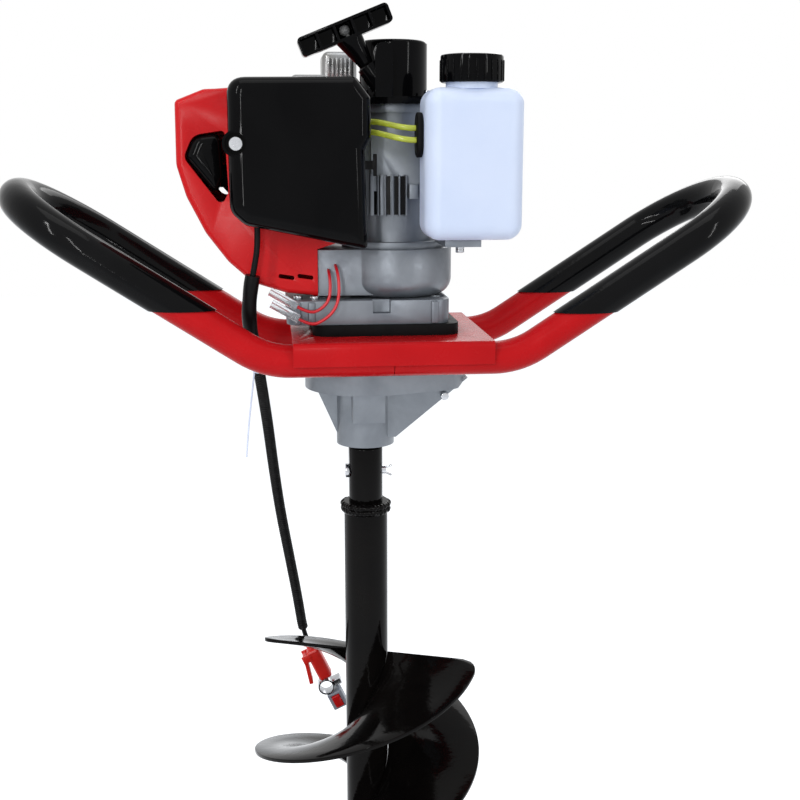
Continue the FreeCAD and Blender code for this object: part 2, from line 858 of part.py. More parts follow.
# ---------------------------------------------------------------- engine
def fan_housing():
    """Bowl about the flywheel, with a duct that leads the cooling air to the shroud."""
    low = block_top_z
    inner = fan_radius - fan_wall
    profile = [at(0, 0, low), at(fan_radius, 0, low), at(fan_radius, 0, fan_top_z), at(0, 0, fan_top_z)]
    bowl = Part.Face(outline(profile, [0, fan_corner, 0, 0])).revolve(at(0, 0, 0), UP, 360)
    bowl.translate(at(crank_x, 0, 0))
    duct = block((duct_left_x, -duct_half_depth, low + duct_bottom_rise),
                 (crank_x, duct_half_depth, fan_top_z))
    space = [at(0, 0, low + fan_wall), at(inner, 0, low + fan_wall),
             at(inner, 0, fan_top_z - fan_wall), at(0, 0, fan_top_z - fan_wall)]
    hollow = Part.Face(outline(space, [0, fan_corner - fan_wall, 0, 0])).revolve(at(0, 0, 0), UP, 360)
    hollow.translate(at(crank_x, 0, 0))
    airway = block((duct_left_x - cut_over, -duct_half_depth + fan_wall,
                    low + duct_bottom_rise + fan_wall),
                   (crank_x, duct_half_depth - fan_wall, fan_top_z - fan_wall))
    eye = rod(fan_eye_radius, 3 * fan_wall, at(crank_x, 0, low - cut_over))
    top_way = rod(crank_bearing[0] + 3, 3 * fan_wall, at(crank_x, 0, fan_top_z - 2 * fan_wall))
    return without(fused([bowl, duct]), [hollow, airway, eye, top_way])


def flywheel():
    disc = rod(flywheel_radius, flywheel_disc, at(crank_x, 0, flywheel_z))
    hub = rod(flywheel_hub_radius, flywheel_disc + fan_blade_height, at(crank_x, 0, flywheel_z))
    blade = block((flywheel_radius - fan_blade_length, -fan_blade_thickness / 2,
                   flywheel_z + flywheel_disc - 0.5),
                  (flywheel_radius - 0.5, fan_blade_thickness / 2,
                   flywheel_z + flywheel_disc + fan_blade_height))
    blade = turned(blade, 25, at(flywheel_radius - fan_blade_length / 2, 0, 0))
    blades = [moved(turned(blade, 360 * k / blade_count), at(crank_x, 0, 0))
              for k in range(blade_count)]
    pins = [rod(shoe_pin_radius, flywheel_z - shoe_z + 1, at(crank_x, side * shoe_pin_offset, shoe_z))
            for side in (-1, 1)]
    bore = rod(crank_bearing[0] + fit_clearance, 200, at(crank_x, 0, flywheel_z - 50))
    return fused([disc, hub] + blades + pins).cut(bore)


def crankcase():
    """Barrel round the crank, with the fuel tank's ear, the cooling ribs and the starter's seat."""
    foot_top = fan_top_z + case_foot
    barrel_top = case_top_z - case_head_height
    pieces = [
        rod(case_foot_radius, case_foot, at(crank_x, 0, fan_top_z)),
        rod(crankcase_radius, barrel_top - foot_top + 2, at(crank_x, 0, foot_top - 1)),
        rod(case_head_radius, case_head_height, at(crank_x, 0, barrel_top)),
        rod(case_rim_radius, case_rim_height, at(crank_x, 0, case_top_z - case_rim_height)),
        block((front_block_left_x, front_block_y, front_block_low_z),
              (front_block_right_x, 0, front_block_high_z)),
        block((cylinder_base_x, -32, cylinder_z - 32), (crank_x, 32, cylinder_z + 32)),
    ]
    pieces += [block((x, front_rib_y, front_rib_low_z), (x + front_rib_width, 0, front_rib_high_z))
               for x in front_rib_xs]
    ear_left = tank_left_x + ear_inset
    pieces.append(block((ear_left, ear_front_y, tank_low_z - ear_thickness),
                        (ear_left + ear_width, ear_back_y, tank_low_z)))
    pieces.append(block((front_block_right_x - 14, tank_back_y - 8, cylinder_z - 18),
                        (front_block_right_x, ear_back_y, cylinder_z - 6)))
    body = fused(pieces)
    chamber_half = rod_width / 2 + crank_web_width + 1.0
    chamber = rod(crank_web_radius + 1.5, 2 * chamber_half, at(crank_x, 0, cylinder_z - chamber_half))
    lower = cylinder_z - chamber_half - crank_bearing[2]
    wells = rod(crank_bearing[1] + fit_clearance, 2 * (chamber_half + crank_bearing[2]),
                at(crank_x, 0, lower))
    way = rod(crank_bearing[0] + 1.5, 3 * case_height, at(crank_x, 0, fan_top_z - 50))
    mouth = rod(bore_radius + 1, crank_x - cylinder_base_x + cut_over,
                at(cylinder_base_x - cut_over, 0, cylinder_z), RIGHT)
    tank_room = block((tank_left_x - 1, tank_front_y, tank_low_z), (tank_right_x, tank_back_y, 400))
    return without(body, [chamber, wells, way, mouth, tank_room])


def crankshaft():
    """Vertical crank with its pin towards the cylinder, so the piston is at the top of its stroke."""
    half = rod_width / 2
    pin_x = crank_x - crank_throw
    pieces = [rod(crank_pin_radius, rod_width + 2, at(pin_x, 0, cylinder_z - half - 1))]
    low_end = shoe_z + shoe_thickness + 3
    spans = [(low_end, cylinder_z - half - crank_web_width), (cylinder_z + half + crank_web_width,
                                                              case_top_z + 3)]
    for low, high in spans:
        pieces.append(rod(crank_bearing[0], high - low, at(crank_x, 0, low)))
    for low in (cylinder_z - half - crank_web_width, cylinder_z + half + 0.3):
        pieces.append(rod(crank_web_radius, crank_web_width - 0.3, at(crank_x, 0, low)))
    return fused(pieces)


def connecting_rod():
    pin_x = crank_x - crank_throw
    small_x = pin_x - rod_length
    low = cylinder_z - rod_width / 2 + 0.3
    height = rod_width - 0.6
    big = rod(crank_pin_radius + rod_eye_wall, height, at(pin_x, 0, low))
    small = rod(piston_pin_radius + rod_eye_wall, height, at(small_x, 0, low))
    beam = block((small_x, -5, low + 1), (pin_x, 5, low + height - 1))
    holes = [rod(crank_pin_radius + running_clearance, 3 * height, at(pin_x, 0, low - height)),
             rod(piston_pin_radius + running_clearance, 3 * height, at(small_x, 0, low - height))]
    return without(fused([big, small, beam]), holes)


def piston():
    small_x = crank_x - crank_throw - rod_length
    skirt_end = small_x + piston_skirt
    radius = bore_radius - piston_clearance
    body = rod(radius, piston_height, at(skirt_end, 0, cylinder_z), LEFT)
    hollow = rod(radius - 3, piston_height - 5, at(skirt_end + cut_over, 0, cylinder_z), LEFT)
    pin = rod(piston_pin_radius, 2 * (radius - 2), at(small_x, 0, cylinder_z - radius + 2))
    grooves = [ring(radius + 1, radius - 1, 1.5, at(skirt_end - piston_height + inset, 0, cylinder_z),
                    RIGHT) for inset in (4.0, 8.0)]
    return fused([without(body, [hollow] + grooves), pin])


def cylinder():
    head_length = cylinder_base_x - cylinder_head_x
    barrel = rod(bore_radius + barrel_wall, head_length, at(cylinder_base_x, 0, cylinder_z), LEFT)
    base = block((cylinder_base_x - 6, -30, cylinder_z - 30), (cylinder_base_x, 30, cylinder_z + 30))
    port = block((port_x - port_half_width, fin_front_y - 1, cylinder_z - port_half_height),
                 (port_x + port_half_width, 0, cylinder_z + port_half_height))
    outlet = block((port_x - port_half_width, 0, cylinder_z - port_half_height),
                   (port_x + port_half_width, fin_back_y + 1, cylinder_z + port_half_height))
    fins = []
    for number in range(fin_count):
        x = cylinder_base_x - 14 - number * fin_pitch
        fins.append(block((x, fin_front_y, cylinder_z - fin_half_height),
                          (x + fin_thickness, fin_back_y, cylinder_z + fin_half_height)))
    body = fused([barrel, base, port, outlet] + fins)
    bore = rod(bore_radius, head_length - head_thickness + cut_over,
               at(cylinder_base_x + cut_over, 0, cylinder_z), LEFT)
    passage = rod(port_radius, 200, at(port_x, -100, cylinder_z), AWAY)
    plug_way = rod(plug_thread_radius + fit_clearance, 3 * head_thickness,
                   at(cylinder_head_x - head_thickness, 0, cylinder_z), RIGHT)
    return without(body, [bore, passage, plug_way])


def spark_plug():
    thread = rod(plug_thread_radius, head_thickness, at(cylinder_head_x, 0, cylinder_z), RIGHT)
    hexed = hexagon(plug_hex_radius, plug_hex_height, at(cylinder_head_x, 0, cylinder_z), LEFT)
    insulator = rod(plug_insulator_radius, plug_length, at(cylinder_head_x - 1, 0, cylinder_z), LEFT)
    return fused([thread, hexed, insulator])


lead_points = [
    (-126.0, 14.0, 150.0), (-126.0, 26.0, 149.0), (-122.0, 38.0, 143.0), (-113.0, 48.0, 132.0),
    (-98.0, 53.0, 116.0), (-76.0, 55.0, 98.0), (-50.0, 56.0, 84.0), (-26.0, 56.5, 76.0),
    (-10.0, 57.0, 74.0), (5.0, 57.0, 74.0),
]


def plug_cap():
    """Rubber cap over the plug, moulded on the ignition lead."""
    open_x = cylinder_head_x - plug_hex_height - 3
    cap = rod(cap_radius, cap_length, at(open_x, 0, cylinder_z), LEFT)
    elbow = rod(lead_radius + 2, cap_radius + 6, at(lead_points[0][0], 0, cylinder_z), AWAY)
    socket = rod(plug_insulator_radius + fit_clearance, plug_length - plug_hex_height,
                 at(open_x + cut_over, 0, cylinder_z), LEFT)
    lead = cord_tube([at(*point) for point in lead_points], lead_radius, "ignition lead")
    return fused([cap, elbow, lead]).cut(socket)


def ignition_coil():
    body = block((crank_x - coil_width / 2 - 8, fan_radius - 10, fan_top_z - coil_height - 4),
                 (crank_x + coil_width / 2 - 8, fan_radius + coil_depth, fan_top_z - 4))
    return body.cut(rod(fan_radius + seat_gap, 200, at(crank_x, 0, 0)))


shroud_corners = [
    (duct_left_x, shroud_low_z), (duct_left_x, shroud_mouth_top_z + 4.0),
    (shroud_right_x, shroud_side_low_z + 1.0), (shroud_right_x, shroud_top_z), (-62.0, shroud_top_z),
    (-124.0, 228.0),
    (-134.0, 227.0), (-158.0, 211.0), (-158.5, 160.0), (-151.0, 134.0), (-136.0, 104.0),
    (-118.0, 80.0), (-98.0, 62.0), (-70.0, 53.0),
]
shroud_radii = [0, 0, 0, 3, 10, 8, 6, 5, 22, 30, 30, 25, 20, 12]
teardrop_corners = [
    (-152.0, 166.0), (-144.0, 184.0), (-118.0, 188.0), (-116.0, 138.0), (-122.0, 126.0),
]
teardrop_radii = [8, 12, 3, 4, 4]


def shroud_inset(inset):
    """The shroud's outline, moved inwards by the wall, open at the right end."""
    face = Part.Face(outline([at(x, 0, z) for x, z in shroud_corners], shroud_radii))
    return face.makeOffset2D(-inset) if inset else face


def engine_shroud():
    outer = shroud_inset(0).extrude(AWAY * (shroud_back_y - shroud_front_y))
    outer.translate(AWAY * shroud_front_y)
    rims = [edge for edge in outer.Edges
            if edge.BoundBox.YMax < shroud_front_y + 1e-6
            and edge.BoundBox.XMax < duct_left_x - 1]
    outer = outer.makeFillet(5.0, rims)
    depth = shroud_back_y - shroud_front_y
    inner = shroud_inset(shroud_wall).extrude(AWAY * (depth - 2 * shroud_wall))
    inner.translate(AWAY * (shroud_front_y + shroud_wall))
    before_y = shroud_front_y - cut_over
    behind_y = shroud_front_y + 4 * shroud_wall
    mouth = block((duct_left_x - 2 * shroud_wall, shroud_front_y + shroud_wall,
                   shroud_low_z + shroud_wall),
                  (duct_left_x + cut_over, shroud_back_y - shroud_wall, shroud_mouth_top_z))
    side = block((shroud_right_x - 2 * shroud_wall, shroud_front_y + shroud_wall,
                  shroud_side_low_z + shroud_wall),
                 (shroud_right_x + cut_over, shroud_back_y - shroud_wall, shroud_top_z - shroud_wall))
    teardrop = front_prism(teardrop_corners, teardrop_radii, before_y, behind_y)
    intake = block((port_x - carb_half_width - 4, before_y, cylinder_z - carb_half_height - 12),
                   (shroud_right_x + cut_over, behind_y, cylinder_z + carb_half_height + 4))
    exhaust = block((port_x - port_half_width - 4, shroud_back_y - 8, cylinder_z - port_half_height - 4),
                    (port_x + port_half_width + 4, shroud_back_y + cut_over,
                     cylinder_z + port_half_height + 4))
    lead_way = rod(2 * lead_radius + 1, 6, at(-120.0, shroud_back_y - 4, 141.0), AWAY)
    slots = [front_prism([(x, 66), (x + 13, 64), (x + 13, 67.5), (x, 69.5)], [1.2] * 4,
                         before_y, behind_y) for x in (-76, -60)]
    return without(outer, [inner, mouth, side, teardrop, intake, exhaust, lead_way] + slots)


def muffler():
    """Pressed box with a narrower ribbed crown on its top."""
    front_y = fin_back_y + 8
    back_y = front_y + muffler_depth

    def pressed_box(left_x, low_z, high_z, inset):
        return rounded_block((left_x + inset, front_y + inset, low_z + inset),
                             (muffler_right_x - inset, back_y - inset, high_z - inset),
                             muffler_round - inset)

    crown_low_z = muffler_high_z - 2 * muffler_round
    body = pressed_box(muffler_left_x, muffler_low_z, muffler_high_z, 0)
    crown = pressed_box(muffler_crown_left_x, crown_low_z, muffler_crown_top_z, 0)
    cavity = pressed_box(muffler_left_x, muffler_low_z, muffler_high_z, muffler_wall)
    crown_cavity = pressed_box(muffler_crown_left_x, crown_low_z, muffler_crown_top_z, muffler_wall)
    stub = block((port_x - port_half_width + 2, fin_back_y + 1, cylinder_z - port_half_height + 2),
                 (port_x + port_half_width - 2, front_y + 2, cylinder_z + port_half_height - 2))
    step = (muffler_right_x - muffler_crown_left_x - 2 * muffler_round) / (muffler_ribs - 1)
    ribs = [block((muffler_crown_left_x + muffler_round + k * step - 1.2, front_y - rib_proud,
                   muffler_high_z - 4),
                  (muffler_crown_left_x + muffler_round + k * step + 1.2, front_y + 1.2,
                   muffler_crown_top_z - muffler_round))
            for k in range(muffler_ribs)]
    tail_place = at(muffler_left_x + 14, back_y - 2, muffler_low_z + 18)
    tail = rod(6, 14, tail_place, AWAY)
    bore = rod(4.5, 24, tail_place - AWAY * 8, AWAY)
    inlet = rod(port_radius, 3 * port_radius, at(port_x, fin_back_y, cylinder_z), AWAY)
    return without(fused([body, crown, stub, tail] + ribs), [cavity, crown_cavity, inlet, bore])


# ---------------------------------------------------------------- intake
def intake_manifold():
    front_y = fin_front_y - 1 - manifold_length
    body = rounded_block((port_x - port_half_width + 1, front_y, cylinder_z - port_half_height + 1),
                         (port_x + port_half_width - 1, front_y + manifold_length,
                          cylinder_z + port_half_height - 1), 1.5)
    return body.cut(rod(port_radius, 50, at(port_x, front_y - cut_over, cylinder_z), AWAY))


def carburettor():
    back_y = base_back_y + carb_length
    body = rounded_block((port_x - carb_half_width, base_back_y, cylinder_z - carb_half_height),
                         (port_x + carb_half_width, back_y, cylinder_z + carb_half_height), 1.5)
    bowl = rod(10.5, 8, at(port_x, base_back_y + carb_length / 2, cylinder_z - carb_half_height - 7))
    tower = rod(9, 16, at(port_x, base_back_y + carb_length / 2, cylinder_z + carb_half_height - 1))
    bracket = block((-97, base_back_y, 111.0), (port_x, base_back_y + 3, 122.0))
    arm = block((-56, base_back_y, 119.0), (-46, base_back_y + 3, cylinder_z - 10))
    stub_place = at(port_x + carb_half_width - 1, base_back_y + 8, cylinder_z + 10)
    stubs = [rod(1.8, 5, stub_place + AWAY * (6 * k), RIGHT) for k in (0, 1)]
    stop = rod(cable_radius + 1.6, 12, at(*cable_points[0]))
    body = fused([body, bowl, tower, bracket, arm, stop] + stubs)
    return body.cut(rod(throat_radius, 60, at(port_x, base_back_y - cut_over, cylinder_z), AWAY))


cover_corners = [
    (cover_left_x, cover_top_z - 1), (cover_right_x - 12, cover_top_z),
    (cover_right_x, cover_top_z - 16), (cover_right_x, 181.0),
    (cover_right_x - 5, 172.0), (cover_right_x - 3, 93.0),
    (cover_left_x + 12, 113.0), (cover_left_x, 124.0),
]
cover_radii = [cover_corner, 7, 6, 4, 4, 3, 8, 8]


def cover_outline(inset, y):
    face = Part.Face(outline([at(x, y, z) for x, z in cover_corners], cover_radii))
    return face.makeOffset2D(-inset) if inset else face


def cover_screw_place(y):
    return at(cover_left_x + cover_screw_inset, y, cover_screw_z)


def air_cleaner_cover():
    depth = base_front_y - cover_front_y - seat_gap
    outer = cover_outline(0, cover_front_y).extrude(AWAY * depth)
    rims = [edge for edge in outer.Edges
            if edge.BoundBox.YMax < cover_front_y + 1e-4]
    outer = outer.makeFillet(2.8, rims)
    inner = cover_outline(cover_wall, cover_front_y + cover_wall).extrude(AWAY * depth)
    cup = rod(screw_recess_radius + 2, screw_recess_depth + 2, cover_screw_place(cover_front_y), AWAY)
    well = rod(screw_recess_radius, screw_recess_depth + cut_over,
               cover_screw_place(cover_front_y - cut_over), AWAY)
    hole = rod(2.7, 40, cover_screw_place(cover_front_y), AWAY)
    shell = outer.cut(inner)
    return without(fused([shell, cup.common(outer)]), [well, hole])


def air_cleaner_base():
    plate = cover_outline(0, base_front_y).extrude(AWAY * base_thickness)
    hollow_face = cover_outline(3, base_front_y + 3)
    hollow = hollow_face.extrude(AWAY * base_thickness)
    floor_ring = block((port_x - carb_half_width - 3, base_front_y + 2,
                        cylinder_z - carb_half_height - 3),
                       (port_x + carb_half_width + 3, base_back_y, cylinder_z + carb_half_height + 3))
    boss_start = cover_front_y + screw_recess_depth + 2 + seat_gap
    post_radius = cover_screw_inset - cover_wall - 2 * seat_gap
    boss = rod(post_radius, base_front_y - boss_start + 2, cover_screw_place(boss_start), AWAY)
    pivot = rod(choke_pin_radius, base_thickness + 1,
                at(choke_x, base_front_y + 2, choke_z), AWAY)
    pivot_foot = rod(6, base_thickness - 2, at(choke_x, base_front_y + 2, choke_z), AWAY)
    body = fused([plate.cut(hollow), floor_ring, boss, pivot, pivot_foot])
    throat = rod(throat_radius, 60, at(port_x, base_front_y - cut_over, cylinder_z), AWAY)
    screw_way = rod(2 + fit_clearance, 18, cover_screw_place(boss_start - cut_over), AWAY)
    return without(body, [throat, screw_way])


def air_filter():
    front_y = base_front_y - filter_thickness
    return rounded_block((filter_left_x, front_y, filter_low_z),
                         (filter_right_x, base_front_y - seat_gap, filter_high_z), 4)


def cover_screw():
    seat_y = cover_front_y + screw_recess_depth
    head = rod(5.2, 4, cover_screw_place(seat_y - 4), AWAY)
    stem = rod(2, 14, cover_screw_place(seat_y - 1), AWAY)
    slot_a = block((-9, 0, -0.6), (9, 1.5, 0.6))
    slot_b = block((-0.6, 0, -9), (0.6, 1.5, 9))
    cross = [moved(slot, cover_screw_place(seat_y - 5)) for slot in (slot_a, slot_b)]
    return without(fused([head, stem]), cross)


def choke_lever():
    """Tab behind the air cleaner base that swings down to open the choke."""
    front_y = base_back_y + 0.1
    eye = rod(5.5, choke_thickness, at(choke_x, front_y, choke_z), AWAY)
    arm = block((choke_x, front_y, choke_z - 3.5),
                (choke_x + choke_reach, front_y + choke_thickness, choke_z + 3.5))
    tab = block((choke_x + choke_reach - 3, front_y, choke_z - 9),
                (choke_x + choke_reach, front_y + choke_thickness, choke_z + 9))
    hole = rod(choke_pin_radius + running_clearance, 20, at(choke_x, front_y - 10, choke_z), AWAY)
    return fused([eye, arm, tab]).cut(hole)


# ---------------------------------------------------------------- recoil starter
nose_axis = at(math.sin(math.radians(handle_lean_deg)), 0, math.cos(math.radians(handle_lean_deg)))
nose_base = at(spout_x - 2, spout_y, spout_top_z - 35)
nose_end = nose_base + nose_axis * nose_length
reel_z = starter_base_top_z + 4.0


def starter_housing():
    base = rod(starter_base_radius, starter_base_height, at(crank_x, 0, case_top_z))
    cup = rod(starter_radius, starter_height, at(crank_x, 0, starter_base_top_z))
    crown = cup.Edges[[edge.BoundBox.ZMin > starter_top_z - 1e-3 for edge in cup.Edges].index(True)]
    cup = cup.makeFillet(3.0, [crown])
    spout = block((spout_x - spout_half_width, spout_y - spout_half_depth, starter_base_top_z - 1),
                  (spout_x + spout_half_width, spout_y + 2 * spout_half_depth, spout_top_z))
    tops = [edge for edge in spout.Edges if edge.BoundBox.ZMin > spout_top_z - 1e-3
            and edge.BoundBox.YLength > 1]
    spout = spout.makeFillet(spout_half_width - 0.5, tops)
    nose = rod(nose_radius, nose_length, nose_base, nose_axis)
    hollow = rod(starter_radius - starter_wall, starter_height - starter_wall,
                 at(crank_x, 0, starter_base_top_z))
    shaft_way = rod(crank_bearing[0] + 2, 3 * starter_base_height, at(crank_x, 0, case_top_z - 1))
    rope_way = rod(rope_radius + 0.8, nose_length + 1, nose_base, nose_axis)
    post = rod(reel_pin_radius, starter_top_z - reel_z - 1, at(crank_x, 0, reel_z))
    lid = rod(reel_pin_radius + 3, starter_wall + 4, at(crank_x, 0, starter_top_z - starter_wall - 4))
    shell = without(fused([base, cup, spout, nose]), [hollow, shaft_way, rope_way])
    return fused([shell, post, lid])


def starter_reel():
    """Rope drum with its turns of rope, free on the housing's post."""
    middle = at(crank_x, 0, reel_z)
    core = rod(rope_turns_radius - rope_radius, reel_width, middle)
    rims = [rod(reel_radius, 2, middle), rod(reel_radius, 2, middle + UP * (reel_width - 2))]
    turns = rod(rope_turns_radius + rope_radius, reel_width - 5, middle + UP * 2.5)
    dog_well = rod(9, 4 + cut_over, middle + DOWN * cut_over)
    bore = rod(reel_pin_radius + running_clearance, 3 * reel_width, middle + DOWN * reel_width)
    return without(fused([core, turns] + rims), [dog_well, bore])


def recoil_spring():
    """Flat spiral drawn as half turns about two centres."""
    z = reel_z + reel_width + 1.5
    pitch, thickness, height, half_turns = 2.6, 0.8, 7.0, 12
    start = reel_pin_radius + 0.9

    def side(offset):
        arcs = []
        for k in range(half_turns):
            radius = start + k * pitch / 2 + offset
            centre = crank_x + (pitch / 2 if k % 2 else 0)
            sign = -1 if k % 2 else 1
            arcs.append(Part.Arc(at(centre + sign * radius, 0, z), at(centre, sign * radius, z),
                                 at(centre - sign * radius, 0, z)).toShape())
        return arcs
    inner, outer = side(-thickness / 2), side(thickness / 2)
    ends = [Part.LineSegment(inner[k].Vertexes[j].Point, outer[k].Vertexes[j].Point).toShape()
            for k, j in ((0, 0), (-1, 1))]
    wire = Part.Wire(Part.__sortEdges__(inner + outer + ends))
    return Part.Face(wire).extrude(UP * height)


def stem_base():
    return nose_end + nose_axis * handle_stand_off


def bar_centre():
    return stem_base() + nose_axis * (handle_stem_length + handle_bar_height / 2 - 3)


def starter_rope():
    """Rope and its stopper knot, revolved about the direction of the pull."""
    start = nose_base + nose_axis * rope_start
    length = start.distanceToPoint(bar_centre())
    neck = length - math.sqrt(knot_radius ** 2 - rope_radius ** 2)
    knot_top = at(0, 0, length + knot_radius)
    edges = [
        Part.LineSegment(at(0, 0, 0), at(rope_radius, 0, 0)).toShape(),
        Part.LineSegment(at(rope_radius, 0, 0), at(rope_radius, 0, neck)).toShape(),
        Part.Arc(at(rope_radius, 0, neck), at(knot_radius, 0, length), knot_top).toShape(),
        Part.LineSegment(knot_top, at(0, 0, 0)).toShape(),
    ]
    rope = Part.Face(Part.Wire(edges)).revolve(at(0, 0, 0), UP, 360)
    rope.Placement = FreeCAD.Placement(start, FreeCAD.Rotation(UP, nose_axis))
    return rope


def starter_handle():
    """Hollow grip bar on a tapered stem, open to the front in cells."""
    stem = Part.makeCone(handle_stem_radius, 2 * handle_stem_radius, handle_stem_length,
                         stem_base(), nose_axis)
    centre = bar_centre()
    half_l, half_d, half_h = handle_bar_length / 2, handle_bar_depth / 2, handle_bar_height / 2
    bar = block((-half_l, -half_d, -half_h), (half_l, half_d, half_h))
    uprights = [edge for edge in bar.Edges if edge.BoundBox.YLength > 1]
    bar = bar.makeFillet(3.5, uprights)
    cell_width = (handle_bar_length - (handle_cells + 1) * handle_bar_wall) / handle_cells
    for k in range(handle_cells):
        left = -half_l + handle_bar_wall + k * (cell_width + handle_bar_wall)
        bar = bar.cut(block((left, -half_d - cut_over, -half_h + handle_bar_wall),
                            (left + cell_width, half_d - handle_bar_wall, half_h - handle_bar_wall)))
    bar = moved(turned(bar, bar_tilt_deg, axis=AWAY), centre)
    slab = moved(turned(block((-half_l, -half_d, -half_h - 40), (half_l, half_d, -half_h + 1)),
                        bar_tilt_deg, axis=AWAY), centre)
    stem = stem.common(slab)
    hole = rod(rope_radius + 0.3, handle_stem_length + 9, stem_base() - nose_axis, nose_axis)
    return fused([bar, stem]).cut(hole)


# ---------------------------------------------------------------- fuel tank
def neck_place(z):
    return at((tank_left_x + tank_right_x) / 2, (tank_front_y + tank_back_y) / 2, z)


def fuel_tank():
    outer = rounded_block((tank_left_x, tank_front_y, tank_low_z),
                          (tank_right_x, tank_back_y, tank_high_z), tank_corner)
    inner = rounded_block(
        (tank_left_x + tank_wall, tank_front_y + tank_wall, tank_low_z + tank_wall),
        (tank_right_x - tank_wall, tank_back_y - tank_wall, tank_high_z - tank_wall),
        tank_corner - tank_wall)
    neck = rod(neck_radius, neck_height + 1, neck_place(tank_high_z - 1))
    mouth = rod(neck_radius - tank_wall, neck_height + 20, neck_place(tank_high_z - 10))
    return without(fused([outer, neck]), [inner, mouth])


def fuel_cap():
    low = tank_high_z + 4
    body = rod(filler_cap_radius, filler_cap_height, neck_place(low))
    recess = rod(neck_radius + neck_clearance, tank_high_z + neck_height + seat_gap - low + cut_over,
                 neck_place(low - cut_over))
    hollow = rod(neck_radius - filler_cap_wall, filler_cap_height - filler_cap_wall, neck_place(low))
    return without(body, [recess, hollow])


def tank_grommet():
    half = grommet_radius
    middle_y = (tank_front_y + tank_back_y) / 2
    low_z, high_z = grommet_z - grommet_height, grommet_z + grommet_height
    corners = [(middle_y - half, low_z), (middle_y + half, low_z),
               (middle_y + half, high_z), (middle_y - half, high_z)]
    points = [at(tank_left_x, y, z) for y, z in corners]
    return prism(points, [half - 0.1] * 4, LEFT * grommet_thickness)


hose_start_x = tank_left_x - grommet_thickness
hose_points = [
    [(hose_start_x, -74.0, 180.0), (hose_start_x - 9.0, -74.0, 180.0),
     (7.5, -67.0, 185.5), (-2.0, -58.0, 187.0),
     (-8.0, -54.0, 179.0), (-9.5, -54.0, 168.5), (-13.0, -55.0, 160.0), (-21.0, -55.0, 160.0)],
    [(hose_start_x, -70.0, 189.5), (hose_start_x - 9.0, -70.0, 189.5),
     (8.0, -61.5, 194.5), (-2.5, -51.0, 195.0),
     (-9.0, -46.8, 186.0), (-10.0, -47.0, 173.5), (-13.0, -49.0, 160.0), (-21.0, -49.0, 160.0)],
]


def fuel_hoses():
    return [cord_tube([at(*point) for point in points], hose_radius, "fuel hose")
            for points in hose_points]


# ---------------------------------------------------------------- drill
def drive_pin_hole():
    return rod(drive_pin_radius + fit_clearance, 100, at(-50, 0, drive_pin_z), RIGHT)


def bit_socket():
    body = rod(socket_radius, socket_top_z - weld_collar_z + 24, at(0, 0, weld_collar_z - 24))
    top = [edge for edge in body.Edges if edge.BoundBox.ZMin > socket_top_z - 1e-3]
    body = body.makeFillet(2.5, top)
    bore = rod(output_radius + fit_clearance, socket_top_z - output_end_z + cut_over,
               at(0, 0, output_end_z))
    return without(body, [bore, drive_pin_hole()])


def drill_tube():
    """Tube with the weld bead at its top and the centring point closing its foot."""
    length = weld_collar_z - drill_tube_end_z
    tube = ring(drill_tube_radius, drill_bore_radius, length,
                at(0, 0, drill_tube_end_z))
    beads = [Part.makeTorus(drill_tube_radius - 0.5, 2.8, at(0, 0, weld_collar_z - drop))
             for drop in (3.0, 8.0)]
    inner = rod(drill_bore_radius, 40, at(0, 0, weld_collar_z - 30))
    foot = rod(drill_tube_radius, 8, at(0, 0, drill_tube_end_z - 8 + 1))
    tip = Part.makeCone(12, 1.5, point_length, at(0, 0, drill_tube_end_z - 6), DOWN)
    return fused([fused([tube] + beads).cut(inner), foot, tip])


def helical_plate(inner, outer, thickness, top_z, top_deg, drop_deg):
    """A right-handed helical plate; its top edge is at top_z and top_deg, and it runs down."""
    height = flight_pitch * drop_deg / 360
    helix = Part.makeHelix(flight_pitch, height, inner)
    corners = [at(inner, 0, 0), at(outer, 0, 0), at(outer, 0, thickness), at(inner, 0, thickness)]
    profile = Part.makePolygon(corners + corners[:1])
    plate = Part.Wire(helix.Edges).makePipeShell([profile], True, True)
    plate.rotate(at(0, 0, 0), UP, top_deg - drop_deg)
    plate.translate(at(0, 0, top_z - height - thickness))
    return plate


def flight_drop_deg():
    return 360 * (flight_top_z - flight_bottom_z) / flight_pitch


def on_drill(radius, degrees, z):
    return at(radius * math.cos(math.radians(degrees)), radius * math.sin(math.radians(degrees)), z)


def blade_bolt_places(number):
    """Bolt positions on one blade, with the height of the flight's top face there."""
    end_deg = flight_top_deg + number * 180 - flight_drop_deg()
    places = []
    for radius in blade_bolt_radii:
        places.append((radius, end_deg + blade_bolt_back_deg))
    z = flight_bottom_z + flight_pitch * blade_bolt_back_deg / 360
    return [(on_drill(radius, degrees, 0), z) for radius, degrees in places]


def corner_cut(number):
    """Rounds the outer corner of a flight's top edge."""
    start = flight_top_deg + number * 180
    room = 3 * flight_corner
    tool = block((flight_radius - flight_corner, -flight_corner, flight_top_z - 30),
                 (flight_radius + room, 2, flight_top_z + 10))
    keep = rod(flight_corner, 60, at(flight_radius - flight_corner, -flight_corner, flight_top_z - 40))
    return turned(tool.cut(keep), start)


def drill_flights():
    solids = []
    for number in range(flights):
        plate = helical_plate(drill_tube_radius + weld_gap, flight_radius, flight_thickness,
                              flight_top_z, flight_top_deg + number * 180, flight_drop_deg())
        holes = [rod(blade_bolt_radius + fit_clearance, 80, at(place.x, place.y, z - 40))
                 for place, z in blade_bolt_places(number)]
        solids.append(without(plate, holes + [corner_cut(number)]))
    return solids


